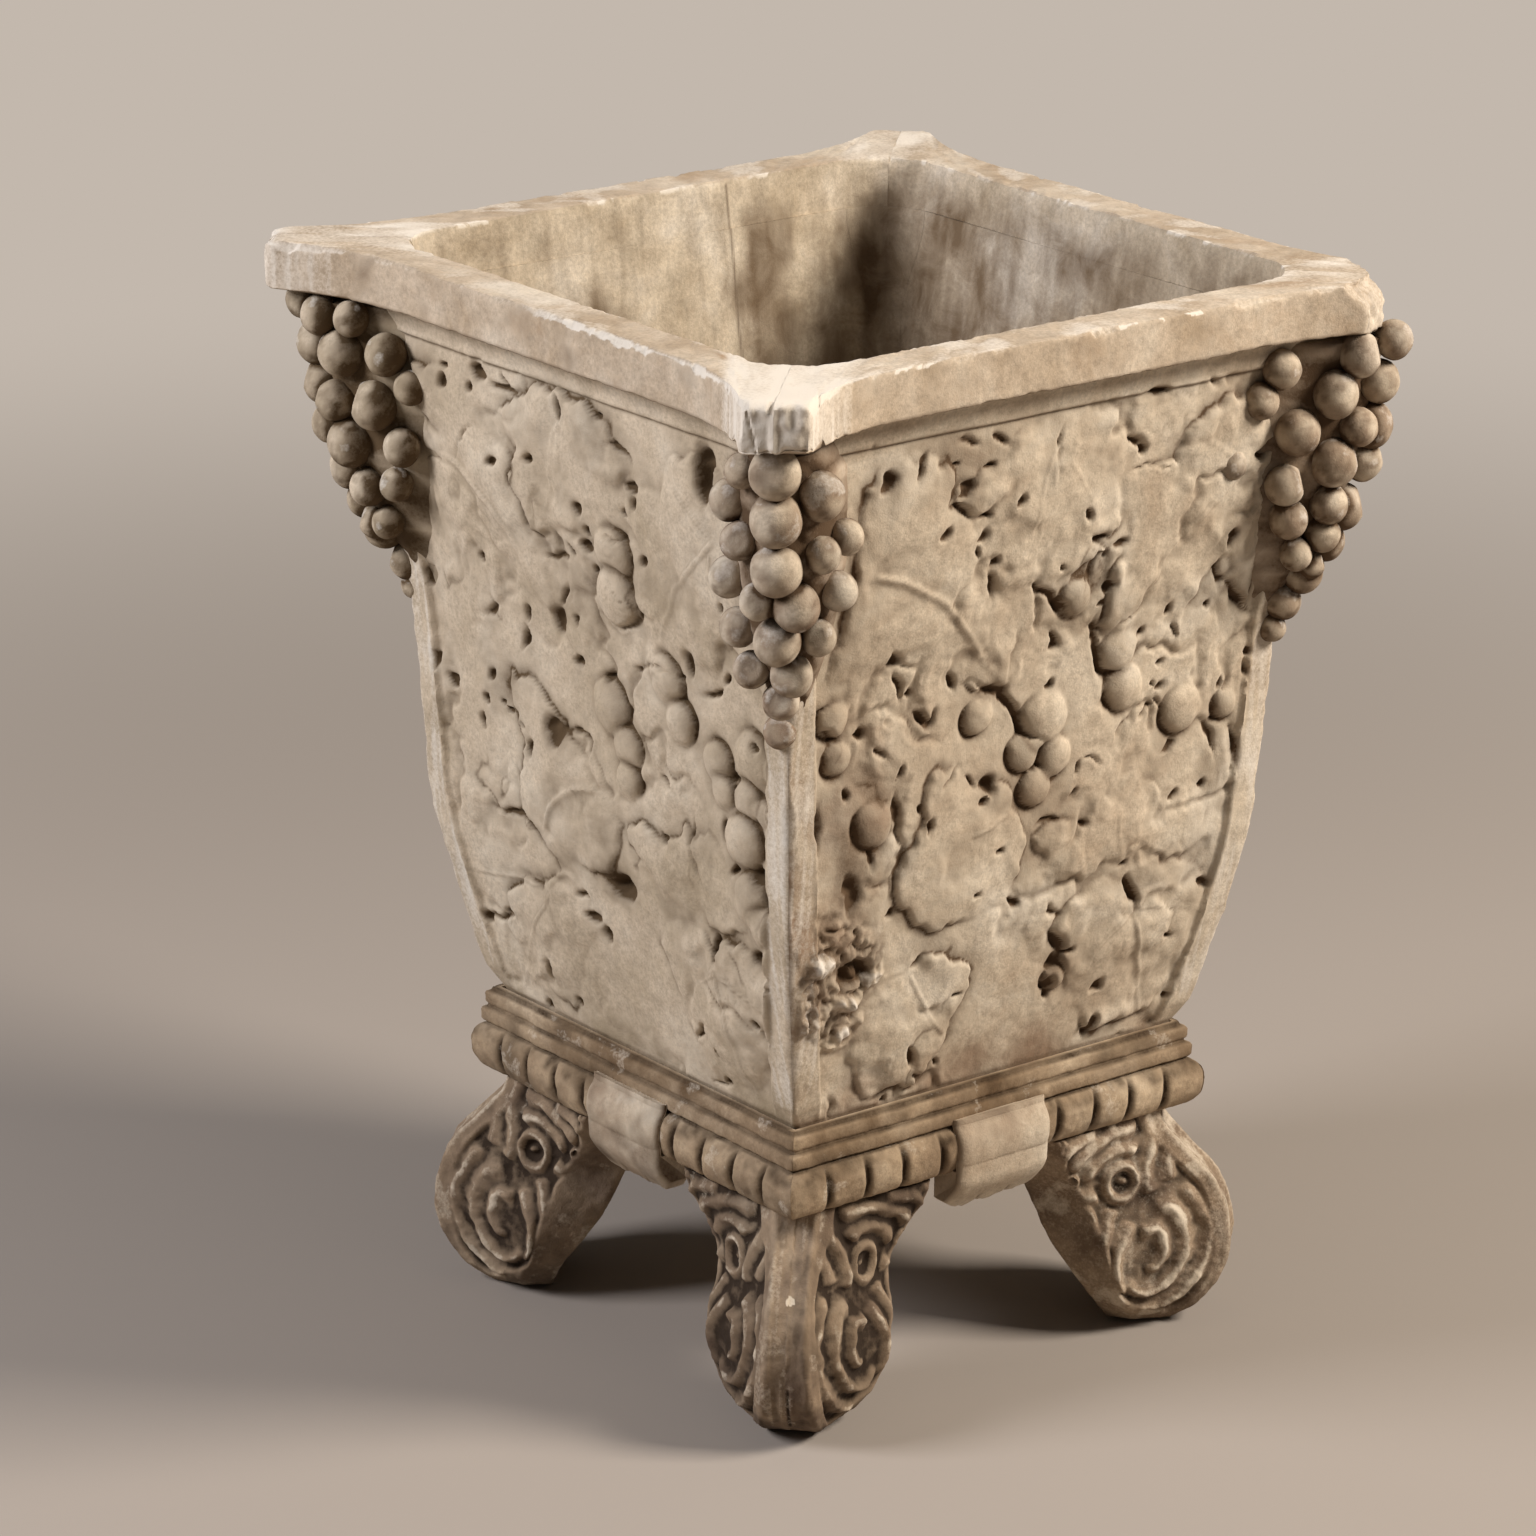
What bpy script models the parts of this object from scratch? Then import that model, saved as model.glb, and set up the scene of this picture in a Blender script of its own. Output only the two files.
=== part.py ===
"""Plaster garden vase: a square, swelling planter with an eared rim, on four scroll feet.

Frame: metres, +Z up, origin on the ground under the middle of the vase.
The four sides are equal castings. Each is modelled once, facing -Y, and turned
about Z by quarter turns. What belongs to a corner is modelled at the corner
between the front (-Y) and the left (-X) side, and turned the same way.
"""
import math

import bmesh
import bpy
from mathutils import Matrix

# Joint left between pieces that touch, the one behind a tongue, and overrun of a cut
CLEARANCE = 0.0003
TONGUE_JOINT = 0.0004
CUT_OVERRUN = 0.004

# Heights, from the ground up
FOOT_HEIGHT = 0.1362
SLAB_THICKNESS = 0.0320
WALL_HEIGHT = 0.4610
RIM_THICKNESS = 0.0300

# Half-widths across the flats of the body, and what the walls leave of the hollow
BASE_HALF = 0.1455
LIP_HALF = 0.2055
WALL_FOOT_THICKNESS = 0.0245
LIP_THICKNESS = 0.0121
FLOOR_HALF = BASE_HALF - WALL_FOOT_THICKNESS
OPENING_HALF = LIP_HALF - LIP_THICKNESS

# Cavetto under the rim, at the head of each wall
CAVETTO_HEIGHT = 0.0185
CAVETTO_REACH = 0.0110
CAVETTO_FILLET = 0.0030

# Plain raised band on both sides of each body corner
BAND_RISE = 0.0043
BAND_WIDTH = 0.0160
BAND_SLOPE = 0.0030
BAND_RUN_IN = 0.0150

# Vine relief on the panels: how far leaves stand out of the face and reach into it
LEAF_RISE = 0.0046
LEAF_BITE = 0.0070

# Rim, with an ear at each corner
RIM_OVERHANG = 0.0195
RIM_HALF = LIP_HALF + RIM_OVERHANG
RIM_EDGE = 0.0030
OPENING_CORNER_RADIUS = 0.0390
EAR_PROUD = 0.0225
EAR_HALF = RIM_HALF + EAR_PROUD
EAR_CHEEK = 0.0380
EAR_FLARE_LENGTH = 0.0900
EAR_ROUNDING = 0.0120

# Base moulding: a gadrooned torus under a fillet and a small cove
MOULD_DEPTH = 0.0149
MOULD_HEIGHT = 0.0535
GADROON_PITCH = 0.0285
GADROON_END_PLAIN = 0.0100
GADROON_CUT_WIDTH = 0.0060
GADROON_CUT_DEPTH = 0.0032

# Plain tongue that hangs over the middle of each base moulding
TONGUE_HALF_WIDTH = 0.0350
TONGUE_MARGIN = 0.0095
TONGUE_PROUD = 0.0052
TONGUE_DROP = 0.0255
TONGUE_THICKNESS = 0.0065
TONGUE_EDGE = 0.0040

# Inner corner fillets
FILLET_RADIUS = 0.0350
FILLET_EDGE = 0.0015

# Drain hole
DRAIN_RADIUS = 0.0200

# Scroll feet, on the diagonals, splayed out beyond the slab's corners
FOOT_SPLAY = 0.0402
FOOT_HALF_WIDTH = 0.0660

# Iron dowels between the feet and the slab
DOWEL_RADIUS = 0.0050
DOWEL_LENGTH = 0.0780
DOWEL_BITE = 0.0220
DOWEL_SETBACK = 0.0458
DOWEL_CHAMFER = 0.0010

# Grape clusters on the body corners
CLUSTER_HEIGHT = 0.1460
CLUSTER_HALF_WIDTH = 0.0400
CLUSTER_PROUD = 0.0360
CLUSTER_TAPER = 0.0224
CLUSTER_CROWN = 0.0520
GRAPE_RADIUS = 0.0138

# Levels that follow from the heights
SLAB_Z0 = FOOT_HEIGHT + CLEARANCE
SLAB_Z1 = SLAB_Z0 + SLAB_THICKNESS
WALL_Z0 = SLAB_Z1 + CLEARANCE
WALL_Z1 = WALL_Z0 + WALL_HEIGHT
RIM_Z0 = WALL_Z1 + CLEARANCE
RIM_Z1 = RIM_Z0 + RIM_THICKNESS
MOULD_Z1 = SLAB_Z0 + MOULD_HEIGHT
CAVETTO_Z0 = WALL_Z1 - CAVETTO_HEIGHT
FACE_Z0 = MOULD_Z1 + CLEARANCE
FACE_HEIGHT = CAVETTO_Z0 - FACE_Z0
MOULD_BACK = BASE_HALF + CLEARANCE
DIAGONAL = math.sqrt(0.5)
MITRE_BACK = CLEARANCE * DIAGONAL
SLAB_REACH = BASE_HALF / DIAGONAL
FOOT_REACH = SLAB_REACH + FOOT_SPLAY
DOWEL_REACH = SLAB_REACH - DOWEL_SETBACK
GADROON_FIRST = TONGUE_HALF_WIDTH + TONGUE_MARGIN
GADROON_ROOM = BASE_HALF - GADROON_END_PLAIN - GADROON_CUT_WIDTH / 2 - GADROON_FIRST

# Swell of the wall: height as a share of the face between the base moulding and
# the cavetto, then how far it has gone from the base half-width to the lip's
WALL_SWELL_SHARES = (
    (0.0, 0.0), (0.07, 0.13), (0.142, 0.25), (0.284, 0.44), (0.427, 0.515), (0.593, 0.585),
    (0.664, 0.65), (0.735, 0.75), (0.807, 0.85), (0.878, 0.925), (0.949, 0.98), (1.0, 1.0),
)

# Section of the base moulding: height share, then depth share
MOULD_SECTION_SHARES = (
    (0.0, 0.30), (0.04, 0.62), (0.12, 0.84), (0.21, 0.96), (0.316, 1.0), (0.42, 0.96),
    (0.51, 0.84), (0.585, 0.64), (0.62, 0.50), (0.65, 0.60), (0.81, 0.60), (0.84, 0.42), (1.0, 0.25),
)
TORUS_TOP_SHARE = 0.62
TORUS_SEAT_SHARE = 0.60
MOULD_FILLET_SHARE = 0.60

# Tongue below the torus: drop share, inward share of the moulding's depth
TONGUE_CURL_SHARES = ((0.0, 0.05), (0.30, 0.30), (0.62, 0.78), (1.0, 1.40))
TONGUE_TOP_SHARE = 0.66
TONGUE_FACE_SHARE = 0.10
TONGUE_SIDE_SHARE = 0.45

# Foot, as rows from the sole up. Height is a share of the foot's height; nose,
# cheek and heel reach are shares of the foot's reach from the vase's axis;
# the half-widths are shares of the foot's half-width
FOOT_ROW_SHARES = (
    # height, nose reach, band, cheek reach, cheek width, heel reach, heel width
    (0.00, 0.841, 0.235, 0.772, 0.255, 0.707, 0.235),
    (0.03, 0.880, 0.250, 0.769, 0.350, 0.697, 0.300),
    (0.10, 0.935, 0.265, 0.764, 0.515, 0.681, 0.410),
    (0.24, 0.986, 0.280, 0.740, 0.700, 0.634, 0.606),
    (0.44, 1.000, 0.288, 0.715, 0.780, 0.557, 0.680),
    (0.66, 0.961, 0.288, 0.660, 0.758, 0.502, 0.680),
    (0.80, 0.890, 0.288, 0.618, 0.848, 0.467, 0.758),
    (0.92, 0.831, 0.288, 0.610, 0.940, 0.447, 0.850),
    (1.00, 0.811, 0.288, 0.600, 1.000, 0.427, 0.910),
)
FOOT_ROW_COUNT = 15
FOOT_SIDE_BOW_SHARES = (0.45, 0.66)
FOOT_ROW_EASE_SHARE = 0.6

# Grapes of one cluster: place across and down as shares of the cluster's
# half-width and height, and size as a share of the grape radius
GRAPE_SHARES = (
    (0.00, 0.00, 1.00), (-0.42, 0.02, 0.80), (0.64, 0.13, 0.88), (-0.62, 0.15, 0.86),
    (0.04, 0.17, 1.00), (-0.50, 0.29, 0.78), (-0.90, 0.30, 0.82), (0.66, 0.35, 0.84),
    (1.00, 0.36, 0.80), (0.04, 0.38, 1.00), (-0.62, 0.44, 0.86), (0.30, 0.54, 0.98),
    (-0.25, 0.51, 0.80), (0.85, 0.54, 0.82), (-0.48, 0.63, 0.82), (0.05, 0.67, 0.92),
    (0.60, 0.68, 0.78), (-0.32, 0.77, 0.78), (0.22, 0.80, 0.86), (0.02, 0.89, 0.88),
    (0.04, 1.00, 0.80),
)

# Leaves of a panel: a place within the leaf, then its outline. Across is a share of the
# face's half-width between the corner bands, up is a share of the face's height
LEAF_SHARES = (
    ((-0.044, 0.878), (
        (-0.043, 0.993), (0.107, 0.993), (0.204, 0.973), (0.304, 0.926), (0.253, 0.878), (0.253, 0.812),
        (0.161, 0.764), (0.000, 0.740), (-0.233, 0.740), (-0.306, 0.797), (-0.332, 0.859), (-0.436, 0.907),
        (-0.324, 0.945), (-0.215, 0.983))),
    ((0.567, 0.774), (
        (0.277, 0.850), (0.318, 0.892), (0.465, 0.895), (0.498, 0.938), (0.604, 0.954), (0.631, 0.807),
        (0.678, 0.679), (0.643, 0.622), (0.570, 0.652), (0.475, 0.643), (0.380, 0.622), (0.307, 0.612),
        (0.261, 0.645), (0.274, 0.736), (0.318, 0.788))),
    ((-0.410, 0.726), (
        (-0.603, 0.964), (-0.529, 0.945), (-0.493, 0.892), (-0.400, 0.845), (-0.374, 0.797), (-0.324, 0.750),
        (-0.199, 0.726), (-0.131, 0.688), (-0.136, 0.605), (-0.258, 0.617), (-0.343, 0.622), (-0.402, 0.643),
        (-0.483, 0.584), (-0.555, 0.603), (-0.612, 0.624), (-0.664, 0.683))),
    ((-0.369, 0.329), (
        (-0.471, 0.498), (-0.326, 0.503), (-0.252, 0.470), (-0.126, 0.460), (-0.013, 0.379), (-0.078, 0.291),
        (-0.397, 0.263), (-0.612, 0.308), (-0.623, 0.370), (-0.520, 0.436))),
    ((0.285, 0.339), (
        (0.051, 0.382), (0.160, 0.389), (0.276, 0.375), (0.383, 0.401), (0.542, 0.413), (0.705, 0.386),
        (0.858, 0.386), (0.897, 0.313), (0.769, 0.303), (0.655, 0.282), (0.503, 0.294), (0.327, 0.287),
        (0.196, 0.291), (0.091, 0.327))),
    ((0.685, 0.099), (
        (0.190, 0.211), (0.298, 0.261), (0.406, 0.280), (0.522, 0.265), (0.607, 0.227), (0.652, 0.270),
        (0.842, 0.272), (0.939, 0.237), (0.986, 0.161), (0.930, 0.082), (0.880, 0.037), (0.579, 0.028),
        (0.445, 0.075), (0.323, 0.118), (0.264, 0.175))),
    ((-0.571, 0.075), (
        (-0.531, 0.211), (-0.444, 0.230), (-0.338, 0.220), (-0.220, 0.194), (-0.188, 0.170), (-0.330, 0.090),
        (-0.463, 0.028), (-0.756, 0.028), (-0.831, 0.099), (-0.800, 0.170), (-0.682, 0.206))),
)
LEAF_RISE_SHARES = (1.0, 0.92, 0.78, 0.76, 0.74, 1.0, 0.94)
LEAF_EDGE_SHARES = ((0.0, 0.60), (0.07, 1.0))

# Fruit on a panel: across, up, and size as a share of the grape radius. The left side
# has the same bunches a little lower and fuller than the other three
FRUIT_SHARES = (
    (0.118, 0.717, 0.87), (0.368, 0.622, 1.01), (0.423, 0.565, 1.09), (0.050, 0.546, 1.12),
    (-0.031, 0.503, 0.87),
    (0.113, 0.486, 0.87), (0.032, 0.446, 0.87), (0.721, 0.510, 1.09), (-0.741, 0.451, 1.01),
)
LEFT_FRUIT_SHARES = (
    (0.199, 0.783, 1.08), (0.188, 0.717, 1.12), (0.429, 0.622, 1.09), (0.497, 0.565, 0.94),
    (0.081, 0.546, 1.12),
    (0.176, 0.493, 0.94), (0.171, 0.446, 0.87), (0.707, 0.527, 0.94), (0.897, 0.553, 1.10),
    (0.881, 0.489, 0.94),
    (0.851, 0.427, 1.12), (0.891, 0.346, 1.10), (0.949, 0.313, 0.94),
)
FRUIT_SINK_SHARE = 0.12

# Core of a cluster: place down, then its half-width as a share of the cluster's.
# Its face keeps a share of a grape's radius behind the grapes' fronts
CLUSTER_CORE_SHARES = (
    (-0.04, 0.16), (0.06, 0.42), (0.18, 0.62), (0.33, 0.80), (0.48, 0.70), (0.63, 0.52),
    (0.77, 0.32), (0.90, 0.16), (0.94, 0.12),
)
CLUSTER_FACE_SHARES = (0.30, 0.72, 1.0)
CLUSTER_SINK_SHARE = 0.92

SIDES = ("front", "right", "back", "left")
CORNERS = ("front_left", "front_right", "back_right", "back_left")
WALL_ROWS = 19
CAVETTO_ROWS = 4
FLARE_POINTS = 6
ROUND_POINTS = 5
FILLET_POINTS = 6
HOLE_POINTS = 24
GRAPE_SPLIT_COUNT = 2
SHARP_ANGLE = math.radians(32)


def clear_scene():
    """Remove every object that the file holds."""
    for obj in list(bpy.data.objects):
        bpy.data.objects.remove(obj, do_unlink=True)


def plain_material(name, colour, roughness, metallic=0.0):
    """Principled material with one colour."""
    material = bpy.data.materials.new(name)
    material.use_nodes = True
    shader = material.node_tree.nodes["Principled BSDF"]
    shader.inputs["Base Color"].default_value = (*colour, 1.0)
    shader.inputs["Roughness"].default_value = roughness
    shader.inputs["Metallic"].default_value = metallic
    material.diffuse_color = (*colour, 1.0)
    return material


def curve_at(pairs, place):
    """Value at a place on a smooth curve through hand-chosen (place, value) pairs."""
    if place <= pairs[0][0]:
        return pairs[0][1]
    if place >= pairs[-1][0]:
        return pairs[-1][1]
    last = len(pairs) - 1
    slopes = []
    for index in range(len(pairs)):
        before = pairs[max(index - 1, 0)]
        after = pairs[min(index + 1, last)]
        slopes.append((after[1] - before[1]) / (after[0] - before[0]))
    for index in range(last):
        left, right = pairs[index], pairs[index + 1]
        if place <= right[0]:
            break
    span = right[0] - left[0]
    t = (place - left[0]) / span
    hold = (1 + 2 * t) * (1 - t) ** 2
    arrive = t * t * (3 - 2 * t)
    leave = t * (1 - t) ** 2
    enter = t * t * (t - 1)
    return hold * left[1] + arrive * right[1] + span * (leave * slopes[index] + enter * slopes[index + 1])


def mesh_from_rings(name, rings):
    """Closed solid through a row of closed outlines with equally many points."""
    bm = bmesh.new()
    rows = [[bm.verts.new(point) for point in ring] for ring in rings]
    count = len(rows[0])
    for lower, upper in zip(rows, rows[1:]):
        for index in range(count):
            following = (index + 1) % count
            bm.faces.new((lower[index], lower[following], upper[following], upper[index]))
    bm.faces.new(list(reversed(rows[0])))
    bm.faces.new(rows[-1])
    bmesh.ops.recalc_face_normals(bm, faces=bm.faces)
    mesh = bpy.data.meshes.new(name)
    bm.to_mesh(mesh)
    bm.free()
    return mesh


def finish_mesh(mesh, material):
    """Give the mesh its material and smooth its round faces."""
    mesh.materials.clear()
    mesh.materials.append(material)
    mesh.shade_smooth()
    mesh.set_sharp_from_angle(angle=SHARP_ANGLE)


def linked_object(name, mesh):
    obj = bpy.data.objects.new(name, mesh)
    bpy.context.scene.collection.objects.link(obj)
    return obj


def turned_copies(prefix, names, meshes, material, parent):
    """One object for each side or corner, turned about Z by quarter turns.

    The first mesh serves all of them, apart from the last one where there is a second.
    """
    for mesh in meshes:
        finish_mesh(mesh, material)
    copies = []
    for turn, name in enumerate(names):
        mesh = meshes[-1] if turn == len(names) - 1 else meshes[0]
        copy = linked_object(f"{prefix}_{name}", mesh)
        copy.parent = parent
        copy.rotation_euler = (0.0, 0.0, turn * math.pi / 2)
        copies.append(copy)
    return copies


def rod_mesh(name, radius, z0, z1, points, place=(0.0, 0.0), chamfer=0.0):
    """Upright round rod about a place in plan, with chamfered ends where asked."""
    levels = [(z0, radius - chamfer), (z1, radius - chamfer)]
    if chamfer:
        levels = [levels[0], (z0 + chamfer, radius), (z1 - chamfer, radius), levels[1]]
    rings = []
    for z, size in levels:
        angles = [2 * math.pi * index / points for index in range(points)]
        rings.append([(place[0] + size * math.cos(a), place[1] + size * math.sin(a), z) for a in angles])
    return mesh_from_rings(name, rings)


def with_booleans(name, mesh, cutters, operation="DIFFERENCE"):
    """The mesh after its cutters, or joined with them, worked out by Boolean modifiers."""
    work = linked_object(name, mesh)
    helpers = []
    for cutter_mesh in cutters:
        helper = linked_object(cutter_mesh.name, cutter_mesh)
        helper.display_type = "WIRE"
        helper.hide_render = True
        helpers.append(helper)
        modifier = work.modifiers.new(cutter_mesh.name, "BOOLEAN")
        modifier.operation = operation
        modifier.solver = "EXACT"
        modifier.object = helper
    graph = bpy.context.evaluated_depsgraph_get()
    result = bpy.data.meshes.new_from_object(work.evaluated_get(graph))
    result.name = name
    for obj in [work] + helpers:
        bpy.data.objects.remove(obj, do_unlink=True)
    return result


def wall_half(z):
    """Half-width across the flats of the body's face at a height."""
    share = curve_at(WALL_SWELL_SHARES, (z - FACE_Z0) / FACE_HEIGHT)
    half = BASE_HALF + (LIP_HALF - BASE_HALF) * share
    climb = (z - CAVETTO_Z0) / CAVETTO_HEIGHT
    if climb > 0:
        cove = 1 - math.sqrt(max(0.0, 1 - climb * climb))
        half += CAVETTO_FILLET + (CAVETTO_REACH - CAVETTO_FILLET) * cove
    return half


def band_rise(z):
    """Rise of the corner band, which runs in above the base moulding and out at the lip."""
    run_in = (z - FACE_Z0) / BAND_RUN_IN
    run_out = (CAVETTO_Z0 - z) / CLUSTER_HEIGHT
    return BAND_RISE * max(0.0, min(run_in, run_out, 1.0))


def wall_inner(z):
    """Half-width of the hollow at a height: straight from the floor to the rim's edge."""
    return FLOOR_HALF + (OPENING_HALF - FLOOR_HALF) * (z - WALL_Z0) / (RIM_Z1 - WALL_Z0)


def wall_levels():
    """Heights of the wall's rows: its foot behind the moulding, the swell, the cavetto."""
    swell = [FACE_Z0 + FACE_HEIGHT * row / WALL_ROWS for row in range(WALL_ROWS + 1)]
    step = CAVETTO_HEIGHT / CAVETTO_ROWS
    first = CAVETTO_Z0 + CLEARANCE
    cavetto = [CAVETTO_Z0 + step * row for row in range(1, CAVETTO_ROWS + 1)]
    return [WALL_Z0] + swell + [first] + cavetto


def wall_mesh():
    """Bombe panel, mitred at both ends, with its corner bands and cavetto."""
    rings = []
    for z in wall_levels():
        flat = wall_half(z)
        corner = flat + band_rise(z)
        inner = wall_inner(z)
        band = flat - BAND_WIDTH
        foot = band - BAND_SLOPE
        outline = [
            (-(corner - MITRE_BACK), -corner), (-band, -corner), (-foot, -flat), (0.0, -flat),
            (foot, -flat), (band, -corner), (corner - MITRE_BACK, -corner),
            (inner - MITRE_BACK, -inner), (-(inner - MITRE_BACK), -inner),
        ]
        rings.append([(x, y, z) for x, y in outline])
    return mesh_from_rings("wall_panel", rings)


def panel_point(across, up, lift):
    """Point over the front face by its shares across and up, lifted out of the face."""
    z = FACE_Z0 + FACE_HEIGHT * up
    flat = wall_half(z)
    return ((flat - BAND_WIDTH - BAND_SLOPE) * across, -(flat + lift), z)


def leaf_mesh(middle, outline, rise):
    """Leaf: from its back in the wall straight out, then bevelled, then over to its middle."""
    bm = bmesh.new()
    rows = [[bm.verts.new(panel_point(across, up, -LEAF_BITE)) for across, up in outline]]
    for inward, lift_share in LEAF_EDGE_SHARES:
        row = []
        for across, up in outline:
            place = (across + (middle[0] - across) * inward, up + (middle[1] - up) * inward)
            row.append(bm.verts.new(panel_point(*place, rise * lift_share)))
        rows.append(row)
    count = len(outline)
    for lower, upper in zip(rows, rows[1:]):
        for index in range(count):
            following = (index + 1) % count
            bm.faces.new((lower[index], lower[following], upper[following]))
            bm.faces.new((lower[index], upper[following], upper[index]))
    for row, lift in ((rows[0], -LEAF_BITE), (rows[-1], rise)):
        centre = bm.verts.new(panel_point(*middle, lift))
        for index in range(count):
            bm.faces.new((row[index], row[(index + 1) % count], centre))
    bmesh.ops.recalc_face_normals(bm, faces=bm.faces)
    mesh = bpy.data.meshes.new("leaf")
    bm.to_mesh(mesh)
    bm.free()
    return mesh


def ball_mesh(name, place, radius):
    """Faceted ball about a place."""
    bm = bmesh.new()
    move = Matrix.Translation(place)
    bmesh.ops.create_icosphere(bm, subdivisions=GRAPE_SPLIT_COUNT, radius=radius, matrix=move)
    mesh = bpy.data.meshes.new(name)
    bm.to_mesh(mesh)
    bm.free()
    return mesh


def panel_mesh(fruit_shares):
    """Bombe panel with its vine leaves and the fruit that lies among them."""
    relief = []
    for (middle, outline), rise_share in zip(LEAF_SHARES, LEAF_RISE_SHARES):
        relief.append(leaf_mesh(middle, outline, LEAF_RISE * rise_share))
    for across, up, size in fruit_shares:
        radius = GRAPE_RADIUS * size
        relief.append(ball_mesh("fruit", panel_point(across, up, -radius * FRUIT_SINK_SHARE), radius))
    return with_booleans("vine_panel", wall_mesh(), relief, "UNION")


def rim_outline(inset, opening):
    """Plan of one rim length from mitre to mitre, its outer edge drawn in by an inset."""
    half = RIM_HALF - inset
    ear = EAR_HALF - inset
    rounding = EAR_ROUNDING - inset
    flare_end = EAR_HALF - EAR_CHEEK
    flare_start = flare_end - EAR_FLARE_LENGTH
    outer = [(0.0, half)]
    for index in range(FLARE_POINTS + 1):
        share = index / FLARE_POINTS
        outer.append((flare_start + EAR_FLARE_LENGTH * share, half + (ear - half) * share * share))
    for index in range(ROUND_POINTS):
        angle = math.pi / 4 * index / (ROUND_POINTS - 1)
        along = ear - rounding + rounding * math.sin(angle)
        out = ear - rounding + rounding * math.cos(angle)
        outer.append((along, out))
    radius = OPENING_CORNER_RADIUS
    centre = opening - radius
    inner = []
    for index in range(ROUND_POINTS):
        angle = math.pi / 4 * (1 - index / (ROUND_POINTS - 1))
        inner.append((centre + radius * math.sin(angle), centre + radius * math.cos(angle)))
    right = outer + inner
    right = [(min(along, out - MITRE_BACK), out) for along, out in right]
    left = [(-along, out) for along, out in reversed(right)]
    return [(along, -out) for along, out in right + left[:-1]]


def rim_mesh():
    """Eared rim length, with eased edges above and below."""
    levels = (
        (RIM_Z0, RIM_EDGE, wall_inner(RIM_Z0)),
        (RIM_Z0 + RIM_EDGE, 0.0, wall_inner(RIM_Z0 + RIM_EDGE)),
        (RIM_Z1 - RIM_EDGE, 0.0, wall_inner(RIM_Z1 - RIM_EDGE)),
        (RIM_Z1, RIM_EDGE, OPENING_HALF + RIM_EDGE),
    )
    rings = [[(x, y, z) for x, y in rim_outline(inset, opening)] for z, inset, opening in levels]
    return mesh_from_rings("rim_length", rings)


def mould_section():
    """Outer line of the base moulding, as (half-width, height) from the bottom up."""
    return [(MOULD_BACK + MOULD_DEPTH * depth, SLAB_Z0 + MOULD_HEIGHT * height)
            for height, depth in MOULD_SECTION_SHARES]


def mould_columns():
    """Places along a moulding and how deep its section is cut there: as many cuts as fit."""
    columns = []
    for index in reversed(range(1 + int(GADROON_ROOM / GADROON_PITCH))):
        columns.append(-(GADROON_FIRST + GADROON_PITCH * index))
    columns += [-place for place in reversed(columns)]
    cuts = []
    for place in columns:
        cuts += [(place - GADROON_CUT_WIDTH / 2, 0.0), (place, 1.0), (place + GADROON_CUT_WIDTH / 2, 0.0)]
    return cuts


def cut_depth(height_share):
    """Depth of a gadroon cut: full at the torus's middle, nothing above its top."""
    if height_share >= TORUS_TOP_SHARE:
        return 0.0
    return GADROON_CUT_DEPTH * math.sqrt(math.sin(math.pi * height_share / TORUS_TOP_SHARE))


def moulding_mesh():
    """Gadrooned length of base moulding, mitred at both ends."""
    section = mould_section()
    back = [(MOULD_BACK, MOULD_Z1), (MOULD_BACK, SLAB_Z0)]
    shares = [height for height, depth in MOULD_SECTION_SHARES] + [1.0, 1.0]
    outline = section + back
    rings = [[(-(half - MITRE_BACK), -half, z) for half, z in outline]]
    for place, cut in mould_columns():
        ring = []
        for (half, z), share in zip(outline, shares):
            ring.append((place, -(half - cut * cut_depth(share)), z))
        rings.append(ring)
    rings.append([(half - MITRE_BACK, -half, z) for half, z in outline])
    return mesh_from_rings("base_moulding", rings)


def offset_line(line, distance):
    """A line of (half-width, height) points moved outwards, square to itself."""
    moved = []
    last = len(line) - 1
    for index, (half, z) in enumerate(line):
        before = line[max(index - 1, 0)]
        after = line[min(index + 1, last)]
        along_half, along_z = after[0] - before[0], after[1] - before[1]
        length = math.hypot(along_half, along_z)
        moved.append((half + distance * along_z / length, z - distance * along_half / length))
    return moved


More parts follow.
